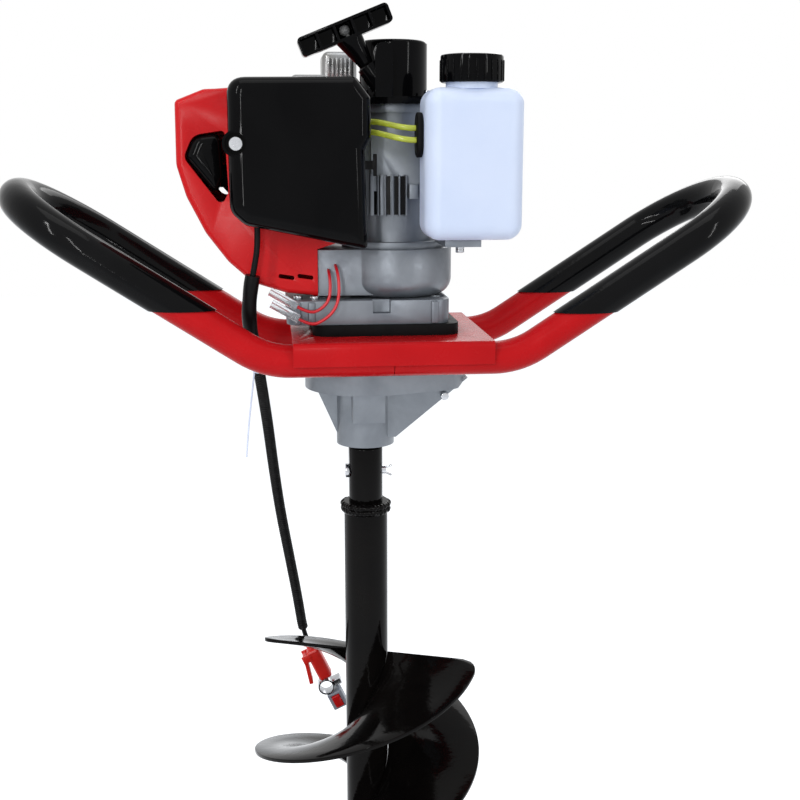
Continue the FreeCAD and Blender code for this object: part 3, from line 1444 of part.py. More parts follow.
def cutting_blades():
    """Hardened blades bolted under the flights, ahead of their lower edges."""
    solids = []
    for number in range(flights):
        lead_deg = blade_sweep_deg - blade_overhang_deg
        end_deg = flight_top_deg + number * 180 - flight_drop_deg()
        top_z = flight_bottom_z + flight_pitch * lead_deg / 360 - flight_thickness - seat_gap
        plate = helical_plate(blade_inner_radius, blade_outer_radius, blade_thickness, top_z,
                              end_deg + lead_deg, blade_sweep_deg)
        holes = [rod(blade_bolt_radius + fit_clearance, 80, at(place.x, place.y, z - 40))
                 for place, z in blade_bolt_places(number)]
        solids.append(without(plate, holes))
    return solids


def blade_bolts():
    """Bolt and nut, clamping blade and flight; heads stand off the sloping faces on washers."""
    solids = []
    for number in range(flights):
        for place, z in blade_bolt_places(number):
            slope = flight_pitch / (2 * math.pi * math.hypot(place.x, place.y))
            clear = blade_bolt_head * slope + 0.3
            low = z - flight_thickness - seat_gap - blade_thickness - clear
            high = z + clear
            stem = rod(blade_bolt_radius, high - low + 6, at(place.x, place.y, low))
            head = hexagon(blade_bolt_head, 5, at(place.x, place.y, low - 5))
            nut = hexagon(blade_bolt_head, 5, at(place.x, place.y, high))
            solids.append(fused([stem, head, nut]))
    return solids


def drive_pin():
    """Cross pin with a flat head at one end and a splayed clip at the other."""
    half = socket_radius + drive_pin_overhang
    pin = rod(drive_pin_radius, 2 * half, at(-half, 0, drive_pin_z), RIGHT)
    head = rod(6.5, drive_pin_overhang - 0.2, at(-half, 0, drive_pin_z), RIGHT)
    legs = [rod(clip_radius, clip_length, at(half - 1, -1, drive_pin_z + 2 * side),
                at(0.85, -0.25, 0.35 * side)) for side in (-1, 1)]
    return fused([pin, head] + legs)


# ---------------------------------------------------------------- control cable
def throttle_cable():
    return cord_tube([at(*point) for point in cable_points], cable_radius, "control cable")


def cable_conduit():
    """Heat-shrink sleeve and split conduit over the cable, with a short gap between them."""
    points = [at(*point) for point in cable_points]
    outer = swept(cord_route(points, "conduit"), conduit_radius)
    inner = swept(cord_route(points, "conduit bore"), conduit_bore)
    body = outer.cut(inner)
    far = 400
    sleeve = body.common(block((-far, -far, sleeve_end_z), (far, far, conduit_top_z)))
    conduit = body.common(block((-far, -far, conduit_end_z), (far, far, sleeve_end_z - 1)))
    return [sleeve, conduit]


unit_top = at(*cable_points[-1])


def on_unit(shape):
    """Carries a shape drawn upright below the cable's end to the way the unit hangs."""
    return turned(moved(shape, unit_top), -unit_lean_deg, unit_top, AWAY)


lever_pivot = (-unit_half_width - 3.0, -unit_collar - 6.0)
switch_middle_z = -unit_collar - unit_length - 2 * clamp_radius - 0.5 - switch_height / 2


def throttle_body():
    low = -unit_collar - unit_length
    body = rounded_block((-unit_half_width, -unit_half_depth, low),
                         (unit_half_width, unit_half_depth, -unit_collar), 3)
    collar = rod(4.5, unit_collar + 1, at(0, 0, -unit_collar - 1))
    x, z = lever_pivot
    ears = [block((x - 3, side * (lever_half_depth + 1.2) - 1, z - 4),
                  (x + 6, side * (lever_half_depth + 1.2) + 1, z + 4)) for side in (-1, 1)]
    pin = rod(lever_pin_radius, 2 * lever_half_depth + 3, at(x, -lever_half_depth - 1.5, z), AWAY)
    return on_unit(fused([body, collar, pin] + ears))


def throttle_lever():
    """Finger lever beside the throttle body, sprung outwards."""
    x, z = lever_pivot
    plate = block((x - lever_thickness / 2, -lever_half_depth, z - lever_length),
                  (x + lever_thickness / 2, lever_half_depth, z))
    eye = rod(lever_pin_radius + 1.5, 2 * lever_half_depth, at(x, -lever_half_depth, z), AWAY)
    hole = rod(lever_pin_radius + running_clearance, 40, at(x, -20, z), AWAY)
    lever = fused([plate, eye]).cut(hole)
    return on_unit(turned(lever, lever_out_deg, at(x, 0, z), AWAY))


def cable_clamp():
    """Handlebar clamp band with its two lugs."""
    middle = -unit_collar - unit_length - clamp_radius
    band = ring(clamp_radius, clamp_radius - clamp_wall, clamp_width,
                at(-clamp_radius / 2, -clamp_width / 2, middle), AWAY)
    lug = block((clamp_radius / 2 - 1, -clamp_width / 2, middle - 3),
                (clamp_radius + 4, clamp_width / 2, middle + 3))
    return on_unit(fused([band, lug]))


def rocker_place():
    return at(0, -switch_half_depth, switch_middle_z)


def switch_body():
    middle = switch_middle_z
    body = rounded_block((-switch_half_width, -switch_half_depth, middle - switch_height / 2),
                         (switch_half_width, switch_half_depth, middle + switch_height / 2), 1.5)
    tongue = block((5, -3, middle), (7.5, 3, -unit_collar - unit_length - clamp_radius - 3 - seat_gap))
    x = rocker_half_width + rocker_room
    z = rocker_half_height + rocker_room
    window = block((-x, -switch_half_depth - cut_over, middle - z),
                   (x, -switch_half_depth + rocker_thickness + 1.5, middle + z))
    pin = rod(1.0, 2 * x + 2, rocker_place() + at(-x - 1, 1.2, 0), RIGHT)
    return on_unit(fused([fused([body, tongue]).cut(window), pin]))


def switch_rocker():
    place = rocker_place() + at(0, 1.2, 0)
    half = rocker_thickness / 2
    body = block((-rocker_half_width, -half - 1.2, -rocker_half_height),
                 (rocker_half_width, half - 1.2 + 1.4, rocker_half_height))
    hole = rod(1.0 + running_clearance, 4 * rocker_half_width, at(-2 * rocker_half_width, 0, 0), RIGHT)
    body = moved(body.cut(hole), place)
    return on_unit(turned(body, rocker_rest_deg, place, RIGHT))


wire_radius = 1.3
wire_start_y = -duct_half_depth - 0.05
wire_face_y = -block_half_depth
stop_wire_points = [
    [(-28.0, wire_start_y, 76.0), (-28.0, wire_start_y - 10.0, 76.0), (-26.0, wire_face_y - 3.0, 67.0),
     (-26.0, wire_face_y - 6.0, 51.0), (-30.0, wire_face_y - 7.5, 40.0),
     (-39.0, wire_face_y - 8.5, 32.0), (-50.0, wire_face_y - 8.8, 27.5)],
    [(-34.0, wire_start_y, 72.0), (-34.0, wire_start_y - 10.0, 72.0), (-33.0, wire_face_y - 2.0, 62.0),
     (-34.0, wire_face_y - 5.0, 49.0), (-41.0, wire_face_y - 6.0, 41.0),
     (-51.0, wire_face_y - 6.5, 37.5)],
]
connector_length = 26.0
connector_radius = 3.6
connector_axis = at(-0.86, 0.02, 0.5).normalize()
connector_run = 12.0


def stop_wire_route(points):
    """The listed points, with a last run in line with the connector."""
    route = [at(*point) for point in points]
    return route + [route[-1] + connector_axis * connector_run]


def wire_connectors():
    return [rod(connector_radius, connector_length, stop_wire_route(points)[-1], connector_axis)
            for points in stop_wire_points]


def stop_wires():
    return [cord_tube(stop_wire_route(points), wire_radius, "stop wire")
            for points in stop_wire_points]


# ---------------------------------------------------------------- files
pieces = {
    "left_handle_loop": handle_loop(-1),
    "right_handle_loop": handle_loop(1),
    "handle_grips": [grip(-1), grip(1)],
    "mounting_plate": mounting_plate(),
    "rubber_pad": rubber_pad(),
    "clutch_housing": clutch_housing(),
    "bolts_and_screws": housing_bolts() + [cover_screw()],
    "gear_case": gear_case(),
    "gear_case_cover": gear_case_cover(),
    "ball_bearings": ball_bearings(),
    "oil_seal": oil_seal(),
    "output_shaft": output_shaft(),
    "output_gear": output_gear(),
    "intermediate_gear": intermediate_gear(),
    "intermediate_shaft": intermediate_shaft(),
    "input_pinion": input_pinion(),
    "clutch_drum": clutch_drum(),
    "clutch_shoes": [clutch_shoes(), clutch_spring()],
    "flywheel": flywheel(),
    "fan_housing": fan_housing(),
    "crankcase": crankcase(),
    "crankshaft": crankshaft(),
    "connecting_rod": connecting_rod(),
    "piston": piston(),
    "cylinder": cylinder(),
    "spark_plug": spark_plug(),
    "plug_cap": plug_cap(),
    "ignition_coil": ignition_coil(),
    "engine_shroud": engine_shroud(),
    "muffler": muffler(),
    "intake_manifold": intake_manifold(),
    "carburettor": carburettor(),
    "choke_lever": choke_lever(),
    "air_cleaner_base": air_cleaner_base(),
    "air_filter": air_filter(),
    "air_cleaner_cover": air_cleaner_cover(),
    "starter_housing": starter_housing(),
    "starter_reel": starter_reel(),
    "recoil_spring": recoil_spring(),
    "starter_rope": starter_rope(),
    "starter_handle": starter_handle(),
    "fuel_tank": fuel_tank(),
    "fuel_cap": fuel_cap(),
    "tank_grommet": tank_grommet(),
    "fuel_hoses": fuel_hoses(),
    "bit_socket": bit_socket(),
    "drill_tube": drill_tube(),
    "drill_flights": drill_flights(),
    "cutting_blades": cutting_blades(),
    "blade_bolts": blade_bolts(),
    "drive_pin": drive_pin(),
    "throttle_cable": throttle_cable(),
    "cable_conduit": cable_conduit(),
    "throttle_body": throttle_body(),
    "throttle_lever": throttle_lever(),
    "cable_clamp": cable_clamp(),
    "switch_body": switch_body(),
    "switch_rocker": switch_rocker(),
    "stop_wires": stop_wires(),
    "wire_connectors": wire_connectors(),
}

os.makedirs("parts", exist_ok=True)
for node, made in pieces.items():
    solids = []
    for shape in made if isinstance(made, list) else [made]:
        solids += shape.Solids
    whole = solids[0] if len(solids) == 1 else Part.makeCompound(solids)
    whole.exportStep("parts/" + node + ".step")
    good = all(solid.isValid() for solid in solids)
    print(node, len(solids), "solids", round(whole.Volume), "mm3", "valid" if good else "NOT VALID")
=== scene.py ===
import json
import math

import bmesh
import bpy
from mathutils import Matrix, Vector

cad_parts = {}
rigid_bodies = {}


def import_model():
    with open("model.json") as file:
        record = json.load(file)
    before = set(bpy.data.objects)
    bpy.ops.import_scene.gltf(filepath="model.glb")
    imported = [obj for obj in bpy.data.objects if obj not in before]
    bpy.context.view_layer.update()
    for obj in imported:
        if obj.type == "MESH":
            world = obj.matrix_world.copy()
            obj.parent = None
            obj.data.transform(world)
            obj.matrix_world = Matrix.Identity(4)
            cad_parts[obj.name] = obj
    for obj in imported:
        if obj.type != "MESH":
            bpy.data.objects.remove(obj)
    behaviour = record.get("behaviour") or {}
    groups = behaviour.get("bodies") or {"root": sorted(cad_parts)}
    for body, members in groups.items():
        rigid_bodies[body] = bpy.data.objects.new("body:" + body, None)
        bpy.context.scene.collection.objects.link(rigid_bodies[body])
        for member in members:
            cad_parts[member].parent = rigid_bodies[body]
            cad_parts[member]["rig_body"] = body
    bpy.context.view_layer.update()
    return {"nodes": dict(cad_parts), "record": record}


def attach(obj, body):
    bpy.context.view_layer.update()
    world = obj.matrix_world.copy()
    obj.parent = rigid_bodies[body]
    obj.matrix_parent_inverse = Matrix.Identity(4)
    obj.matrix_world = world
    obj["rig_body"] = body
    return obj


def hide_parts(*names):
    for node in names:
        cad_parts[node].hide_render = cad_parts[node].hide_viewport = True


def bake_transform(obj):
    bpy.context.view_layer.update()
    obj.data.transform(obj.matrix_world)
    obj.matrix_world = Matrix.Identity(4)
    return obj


# Petrol ice auger: looks for an engine over a gear case, a frame and a twin-flight drill.

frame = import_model()
nodes = frame["nodes"]
bodyOf = {name: piece["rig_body"] for name, piece in nodes.items()}
slotOf = {part["node"]: part["material_slot"] for part in frame["record"]["subparts"]}
scene = bpy.context.scene
print("frame loaded:", len(nodes), "nodes")


# Node helpers: a term is a socket to link or a plain number to set.

def plug(tree, source, target):
    if hasattr(source, "links"):
        tree.links.new(source, target)
    else:
        target.default_value = source


def calc(tree, operation, *terms):
    step = tree.nodes.new("ShaderNodeMath")
    step.operation = operation
    for number, term in enumerate(terms):
        plug(tree, term, step.inputs[number])
    return step.outputs[0]


# Finishes: each is a node tree on object coordinates.

grain = dict(patchScale=30.0, patchDetail=4.0, patchWarp=0.4, patchSpan=(0.35, 0.7),
             smearScale=90.0, smearDetail=5.0, smearWarp=0.8, smearSpan=(0.3, 0.7), bumpDetail=3.0)


def linear(level):  # a screen level of 0 to 255 as linear light
    level = level / 255
    return level / 12.92 if level <= 0.04045 else ((level + 0.055) / 1.055) ** 2.4


def tint(colour):
    return tuple(linear(channel) for channel in colour) + (1.0,)


def addNoise(tree, place, scale, detail, warp=0.0):
    noise = tree.nodes.new("ShaderNodeTexNoise")
    noise.inputs["Scale"].default_value = scale
    noise.inputs["Detail"].default_value = detail
    noise.inputs["Distortion"].default_value = warp
    tree.links.new(place.outputs["Object"], noise.inputs["Vector"])
    return noise.outputs["Fac"]


def addSpan(tree, value, span, result=(0.0, 1.0)):  # stretches the middle of a noise
    stretch = tree.nodes.new("ShaderNodeMapRange")
    stretch.inputs["From Min"].default_value, stretch.inputs["From Max"].default_value = span
    stretch.inputs["To Min"].default_value, stretch.inputs["To Max"].default_value = result
    tree.links.new(value, stretch.inputs["Value"])
    return stretch.outputs["Result"]


def makeFinish(name, look):
    material = bpy.data.materials.new(name)
    material.use_nodes = True
    tree = material.node_tree
    shader = tree.nodes["Principled BSDF"]
    for socket, value in look.get("sockets", {}).items():
        shader.inputs[socket].default_value = value
    place = tree.nodes.new("ShaderNodeTexCoord")
    patches = addNoise(tree, place, look.get("patch", grain["patchScale"]), grain["patchDetail"],
                       grain["patchWarp"])
    blend = tree.nodes.new("ShaderNodeMix")
    blend.data_type = "RGBA"
    blend.inputs["A"].default_value = tint(look["colour"])
    blend.inputs["B"].default_value = tint(look["second"])
    tree.links.new(addSpan(tree, patches, grain["patchSpan"]), blend.inputs["Factor"])
    tree.links.new(blend.outputs["Result"], shader.inputs["Base Color"])
    smear = addNoise(tree, place, grain["smearScale"], grain["smearDetail"], grain["smearWarp"])
    tree.links.new(addSpan(tree, smear, grain["smearSpan"], look["rough"]),
                   shader.inputs["Roughness"])
    normal = None
    for scale, depth in look.get("bumps", []):
        bump = tree.nodes.new("ShaderNodeBump")
        bump.inputs["Strength"].default_value = 1.0
        bump.inputs["Distance"].default_value = depth
        tree.links.new(addNoise(tree, place, scale, grain["bumpDetail"]), bump.inputs["Height"])
        if normal is not None:
            tree.links.new(normal, bump.inputs["Normal"])
        normal = bump.outputs["Normal"]
    if normal is not None:
        tree.links.new(normal, shader.inputs["Normal"])
    return material


looks = {
    "red_paint": dict(colour=(176, 21, 25), second=(164, 17, 21), rough=(0.2, 0.3), patch=14.0,
                      bumps=[(420.0, 0.00002)], sockets={"Specular IOR Level": 0.07}),
    "black_grip": dict(colour=(7, 7, 8), second=(12, 12, 13), rough=(0.06, 0.13), patch=20.0,
                       bumps=[(48.0, 0.0003), (700.0, 0.00002)],
                       sockets={"Specular IOR Level": 0.09}),
    "pad_rubber": dict(colour=(8, 8, 9), second=(14, 14, 15), rough=(0.5, 0.68),
                       bumps=[(900.0, 0.00008)], sockets={"Specular IOR Level": 0.08}),
    "cast_grey": dict(colour=(128, 133, 139), second=(104, 109, 116),
                      rough=(0.34, 0.5), patch=24.0,
                      bumps=[(1100.0, 0.00009), (160.0, 0.00008)], sockets={"Metallic": 0.6}),
    "bearing_steel": dict(colour=(196, 198, 202), second=(170, 172, 176), rough=(0.16, 0.28),
                          bumps=[(1500.0, 0.00002)], sockets={"Metallic": 1.0}),
    "gear_steel": dict(colour=(120, 120, 124), second=(88, 88, 92), rough=(0.25, 0.42),
                       bumps=[(1200.0, 0.00003)], sockets={"Metallic": 1.0}),
    "flywheel_alloy": dict(colour=(168, 170, 172), second=(140, 142, 146), rough=(0.34, 0.5),
                           bumps=[(1000.0, 0.00008)], sockets={"Metallic": 0.9}),
    "shroud_red": dict(colour=(200, 26, 29), second=(186, 20, 24), rough=(0.2, 0.3), patch=12.0,
                       bumps=[(1300.0, 0.00003)], sockets={"Specular IOR Level": 0.16}),
    "black_plastic": dict(colour=(4, 4, 5), second=(8, 8, 9), rough=(0.05, 0.1), patch=16.0,
                          bumps=[(20.0, 0.0004), (1400.0, 0.00001)],
                          sockets={"Specular IOR Level": 0.06}),
    "black_matt_plastic": dict(colour=(9, 9, 10), second=(16, 16, 17), rough=(0.3, 0.44),
                               bumps=[(1300.0, 0.00006)], sockets={"Specular IOR Level": 0.1}),
    "filter_foam": dict(colour=(44, 46, 50), second=(24, 24, 27), rough=(0.85, 0.95), patch=500.0,
                        bumps=[(420.0, 0.0006)]),
    "muffler_steel": dict(colour=(158, 161, 165), second=(124, 122, 118),
                          rough=(0.22, 0.4), patch=34.0,
                          bumps=[(900.0, 0.00004)], sockets={"Metallic": 0.95}),
    "rope": dict(colour=(128, 128, 126), second=(70, 70, 72), rough=(0.75, 0.9), patch=700.0,
                 bumps=[(900.0, 0.0004)]),
    "tank_plastic": dict(colour=(208, 220, 244), second=(198, 212, 240),
                         rough=(0.3, 0.42), patch=10.0,
                         bumps=[(900.0, 0.00003)],
                         sockets={"Subsurface Weight": 0.5, "Subsurface Scale": 0.02,
                                  "Subsurface Radius": (1.0, 1.0, 1.0), "Specular IOR Level": 0.3,
                                  # painted glow: a faint bluish emission stands in for light shining
                                  # through the translucent tank
                                  "Emission Color": (0.55, 0.68, 1.0, 1.0),
                                  "Emission Strength": 0.05}),
    "clear_hose": dict(colour=(214, 222, 84), second=(196, 210, 60), rough=(0.12, 0.2),
                       sockets={"Transmission Weight": 0.45, "IOR": 1.42}),
    "clear_sleeve": dict(colour=(236, 238, 240), second=(220, 224, 228), rough=(0.12, 0.22),
                         sockets={"Transmission Weight": 0.85, "IOR": 1.4}),
    "wire_red": dict(colour=(206, 20, 34), second=(178, 14, 28), rough=(0.3, 0.4)),
    "black_paint": dict(colour=(6, 5, 5), second=(11, 9, 8), rough=(0.05, 0.11), patch=18.0,
                        bumps=[(260.0, 0.00006), (40.0, 0.0003)],
                        sockets={"Specular IOR Level": 0.08}),
    "blade_steel": dict(colour=(92, 94, 100), second=(60, 61, 66), rough=(0.26, 0.44),
                        bumps=[(800.0, 0.00005)], sockets={"Metallic": 0.9}),
    "trigger_red": dict(colour=(214, 38, 30), second=(198, 28, 24), rough=(0.3, 0.4),
                        bumps=[(1100.0, 0.00004)]),
    "switch_grey": dict(colour=(150, 156, 166), second=(132, 138, 150), rough=(0.35, 0.48),
                        bumps=[(1100.0, 0.00004)]),
    "rocker_red": dict(colour=(214, 30, 30), second=(196, 22, 24), rough=(0.2, 0.3)),
}
finishes = {name: makeFinish(name, look) for name, look in looks.items()}
for name, piece in nodes.items():
    piece.data.materials.clear()
    piece.data.materials.append(finishes[slotOf[name]])
print("finishes made:", len(finishes))


# Studio: lamps, white backdrop, floor and camera.

studio = dict(
    worldLevel=0.72, worldColour=(0.93, 0.96, 1.0, 1.0), white=(1.0, 1.0, 1.0, 1.0),
    floorHeight=-0.912, floorSize=8.0, floorLift=0.45, floorColour=(0.8, 0.81, 0.82, 1.0),
    floorRough=0.8, floorGloss=0.1)
lamps = {  # place, point aimed at, width and height in metres, watts
    "key": ((-1.5, -1.6, 1.3), (0, 0, 0.05), (0.1, 1.6), 22.0),
    "strip": ((-0.55, -1.9, 0.5), (-0.05, 0, 0.1), (0.04, 1.3), 10.0),
    "fill": ((1.6, -1.5, 0.7), (0, 0, 0), (0.1, 1.4), 9.0),
    "rim": ((0.9, 1.7, 1.1), (0, 0, 0), (1.2, 1.2), 12.0),
    "top": ((0.0, -0.2, 2.1), (0, 0, 0), (1.4, 1.0), 7.0),
}
view = dict(place=(-0.083, -1.057, 0.174), turn=6.2, dip=11.95, lens=53.66, sensor=36.0, clip=0.02)


def whiteForEye(tree, dark, white):  # white to the camera, in gloss and through clear pieces
    path = tree.nodes.new("ShaderNodeLightPath").outputs
    seen = calc(tree, "MAXIMUM", path["Is Camera Ray"], path["Is Glossy Ray"])
    mix = tree.nodes.new("ShaderNodeMixShader")
    tree.links.new(calc(tree, "MAXIMUM", seen, path["Is Transmission Ray"]), mix.inputs[0])
    tree.links.new(dark, mix.inputs[1])
    tree.links.new(white, mix.inputs[2])
    return mix.outputs[0]


def makeWorld():
    world = bpy.data.worlds.new("studioWorld")
    scene.world = world
    world.use_nodes = True
    tree = world.node_tree
    light = tree.nodes["Background"]
    light.inputs["Color"].default_value = studio["worldColour"]
    light.inputs["Strength"].default_value = studio["worldLevel"]
    white = tree.nodes.new("ShaderNodeBackground")
    white.inputs["Color"].default_value = studio["white"]
    out = tree.nodes["World Output"]
    tree.links.new(whiteForEye(tree, light.outputs[0], white.outputs[0]), out.inputs["Surface"])


def makeFloor():
    size = studio["floorSize"]
    mesh = bpy.data.meshes.new("floor")
    corners = [(-size, -size), (size, -size), (size, size), (-size, size)]
    mesh.from_pydata([(x, y, studio["floorHeight"]) for x, y in corners], [], [(0, 1, 2, 3)])
    floor = bpy.data.objects.new("floor", mesh)
    scene.collection.objects.link(floor)
    material = bpy.data.materials.new("paleFloor")
    material.use_nodes = True
    tree = material.node_tree
    shader = tree.nodes["Principled BSDF"]
    shader.inputs["Base Color"].default_value = studio["floorColour"]
    shader.inputs["Roughness"].default_value = studio["floorRough"]
    shader.inputs["Specular IOR Level"].default_value = studio["floorGloss"]
    lift = tree.nodes.new("ShaderNodeEmission")
    lift.inputs["Strength"].default_value = studio["floorLift"]
    lifted = tree.nodes.new("ShaderNodeAddShader")
    tree.links.new(shader.outputs[0], lifted.inputs[0])
    tree.links.new(lift.outputs[0], lifted.inputs[1])
    out = tree.nodes["Material Output"]
    tree.links.new(whiteForEye(tree, shader.outputs[0], lifted.outputs[0]), out.inputs["Surface"])
    mesh.materials.append(material)


def addLamp(name, place, aim, size, power):
    lamp = bpy.data.lights.new(name, "AREA")
    lamp.shape = "RECTANGLE"
    lamp.size, lamp.size_y = size
    lamp.energy = power
    piece = bpy.data.objects.new(name, lamp)
    piece.location = place
    piece.rotation_euler = (Vector(aim) - Vector(place)).to_track_quat("-Z", "Y").to_euler()
    scene.collection.objects.link(piece)


def makeStudio():
    makeWorld()
    makeFloor()
    for name, values in lamps.items():
        addLamp(name, *values)
    lens = bpy.data.cameras.new("viewer")
    lens.sensor_width = view["sensor"]
    lens.lens = view["lens"]
    lens.clip_start = view["clip"]
    camera = bpy.data.objects.new("viewer", lens)
    camera.location = view["place"]
    camera.rotation_euler = (math.radians(90 - view["dip"]), 0, -math.radians(view["turn"]))
    scene.collection.objects.link(camera)
    scene.camera = camera
    scene.view_settings.view_transform = "Standard"


makeStudio()
print("studio set")


# Making that several pieces share.

soften = dict(merge=0.00001, shortest=0.000005, flat=0.8, sharp=35.0, segments=2, smooth=32.0)


def addPiece(name, mesh, slot, body, smooth=40.0):
    piece = bpy.data.objects.new(name, mesh)
    scene.collection.objects.link(piece)
    if not mesh.materials:
        mesh.materials.append(finishes[slot])
    mesh.shade_smooth()
    if smooth:
        mesh.set_sharp_from_angle(angle=math.radians(smooth))
    if body:
        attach(piece, body)
    return piece


def bake(piece):
    bpy.context.view_layer.update()
    graph = bpy.context.evaluated_depsgraph_get()
    mesh = bpy.data.meshes.new_from_object(piece.evaluated_get(graph))
    piece.modifiers.clear()
    piece.data = mesh
    return mesh


def softened(node, width):  # a copy of a solid with its sharp edges broken
    work = bmesh.new()
    work.from_mesh(nodes[node].data)
    bmesh.ops.remove_doubles(work, verts=work.verts, dist=soften["merge"])
    bmesh.ops.dissolve_degenerate(work, edges=work.edges, dist=soften["shortest"])
    bmesh.ops.dissolve_limit(work, angle_limit=math.radians(soften["flat"]), verts=work.verts,
                             edges=work.edges)
    mesh = bpy.data.meshes.new(node + "Softened")
    work.to_mesh(mesh)
    work.free()
    piece = bpy.data.objects.new(node + "Softened", mesh)
    scene.collection.objects.link(piece)
    bevel = piece.modifiers.new("edge", "BEVEL")
    bevel.width = width
    bevel.segments = soften["segments"]
    bevel.limit_method = "ANGLE"
    bevel.angle_limit = math.radians(soften["sharp"])
    bevel.use_clamp_overlap = True
    baked = bake(piece)
    bpy.data.objects.remove(piece)
    baked.name = node + "Softened"
    piece = addPiece(node + "Softened", baked, slotOf[node], bodyOf[node], soften["smooth"])
    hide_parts(node)
    return piece


def routeLine(points):  # the smooth line of a route's control points
    curve = bpy.data.curves.new("routeLine", "CURVE")
    curve.dimensions = "3D"
    curve.resolution_u = 24
    spline = curve.splines.new("NURBS")
    spline.points.add(len(points) - 1)
    for knot, point in zip(spline.points, points):
        knot.co = (*point, 1.0)
    spline.order_u = 3
    spline.use_endpoint_u = True
    return curve


def lineOf(points):  # points read along that line
    curve = routeLine(points)
    holder = bpy.data.objects.new("routeHolder", curve)
    scene.collection.objects.link(holder)
    graph = bpy.context.evaluated_depsgraph_get()
    mesh = bpy.data.meshes.new_from_object(holder.evaluated_get(graph))
    line = [vertex.co.copy() for vertex in mesh.vertices]
    bpy.data.objects.remove(holder)
    return line


def tubeMesh(name, line, radii, sides=16):  # a closed tube with a radius at each point
    work = bmesh.new()
    rings = []
    across = Vector((0, 0, 1))
    for number, point in enumerate(line):
        ahead = line[min(number + 1, len(line) - 1)] - line[max(number - 1, 0)]
        ahead.normalize()
        across = across - ahead * across.dot(ahead)
        if across.length < 1e-4:
            across = Vector((1, 0, 0)) - ahead * ahead.x
        across.normalize()
        other = ahead.cross(across)
        ring = []
        for step in range(sides):
            turn = 2 * math.pi * step / sides
            offset = across * math.cos(turn) + other * math.sin(turn)
            ring.append(work.verts.new(point + offset * radii[number]))
        rings.append(ring)
    for first, second in zip(rings, rings[1:]):
        for step in range(sides):
            after = (step + 1) % sides
            work.faces.new((first[step], first[after], second[after], second[step]))
    work.faces.new(list(reversed(rings[0])))
    work.faces.new(rings[-1])
    mesh = bpy.data.meshes.new(name)
    work.to_mesh(mesh)
    work.free()
    return mesh


def evenly(line, step):  # the line's points again, a step apart
    spread = [line[0].copy()]
    room = step
    for start, end in zip(line, line[1:]):
        run = (end - start).length
        done = 0.0
        while run - done >= room:
            done += room
            spread.append(start.lerp(end, done / run))
            room = step
        room -= run - done
    spread.append(line[-1].copy())
    return spread


def newTree(name, sizes):  # a geometry tree with named inputs, and its two ends
    tree = bpy.data.node_groups.new(name, "GeometryNodeTree")
    tree.interface.new_socket(name="Geometry", in_out="OUTPUT", socket_type="NodeSocketGeometry")
    tree.interface.new_socket(name="Geometry", in_out="INPUT", socket_type="NodeSocketGeometry")
    for label, kind in sizes:
        tree.interface.new_socket(name=label, in_out="INPUT", socket_type="NodeSocket" + kind)
    return tree, tree.nodes.new("NodeGroupInput"), tree.nodes.new("NodeGroupOutput")


def applyTree(piece, tree, values):  # sets each input by its socket's identifier
    modifier = piece.modifiers.new(tree.name, "NODES")
    modifier.node_group = tree
    for item in tree.interface.items_tree:
        if item.in_out == "INPUT" and item.name in values:
            modifier[item.identifier] = values[item.name]


def endTree(tree, start, end, geometry):  # the last two steps of every tree
    real = tree.nodes.new("GeometryNodeRealizeInstances")
    coat = tree.nodes.new("GeometryNodeSetMaterial")
    tree.links.new(geometry, real.inputs["Geometry"])
    tree.links.new(real.outputs["Geometry"], coat.inputs["Geometry"])
    tree.links.new(start.outputs["Material"], coat.inputs["Material"])
    tree.links.new(coat.outputs["Geometry"], end.inputs["Geometry"])


# Repeated details: one small block, rod or drop at each place, turned as the place says.

repeats = dict(seed=7, dropLevels=3, bevelSegments=3, smooth=35.0)


def makeRepeatTree(kind):
    tree, start, end = newTree("repeat" + kind, [("Size", "Vector"), ("Sides", "Int"),
                                                 ("Jitter", "Float"), ("Material", "Material")])
    size = tree.nodes.new("ShaderNodeSeparateXYZ")
    tree.links.new(start.outputs["Size"], size.inputs[0])
    if kind == "Block":
        shape = tree.nodes.new("GeometryNodeMeshCube")
        tree.links.new(start.outputs["Size"], shape.inputs["Size"])
    elif kind == "Rod":
        shape = tree.nodes.new("GeometryNodeMeshCylinder")
        tree.links.new(start.outputs["Sides"], shape.inputs["Vertices"])
        tree.links.new(size.outputs["X"], shape.inputs["Radius"])
        tree.links.new(size.outputs["Z"], shape.inputs["Depth"])
    else:
        shape = tree.nodes.new("GeometryNodeMeshIcoSphere")
        tree.links.new(size.outputs["X"], shape.inputs["Radius"])
        shape.inputs["Subdivisions"].default_value = repeats["dropLevels"]
    turn = tree.nodes.new("GeometryNodeInputNamedAttribute")
    turn.data_type = "FLOAT_VECTOR"
    turn.inputs["Name"].default_value = "turn"
    swing = tree.nodes.new("FunctionNodeEulerToRotation")
    tree.links.new(turn.outputs["Attribute"], swing.inputs[0])
    chance = tree.nodes.new("FunctionNodeRandomValue")
    chance.inputs["Seed"].default_value = repeats["seed"]
    tree.links.new(calc(tree, "SUBTRACT", 1.0, start.outputs["Jitter"]), chance.inputs[2])
    tree.links.new(calc(tree, "ADD", 1.0, start.outputs["Jitter"]), chance.inputs[3])
    place = tree.nodes.new("GeometryNodeInstanceOnPoints")
    tree.links.new(start.outputs["Geometry"], place.inputs["Points"])
    tree.links.new(shape.outputs["Mesh"], place.inputs["Instance"])
    tree.links.new(swing.outputs[0], place.inputs["Rotation"])
    tree.links.new(chance.outputs[1], place.inputs["Scale"])
    endTree(tree, start, end, place.outputs["Instances"])
    return tree


repeatTrees = {kind: makeRepeatTree(kind) for kind in ("Block", "Rod", "Drop")}


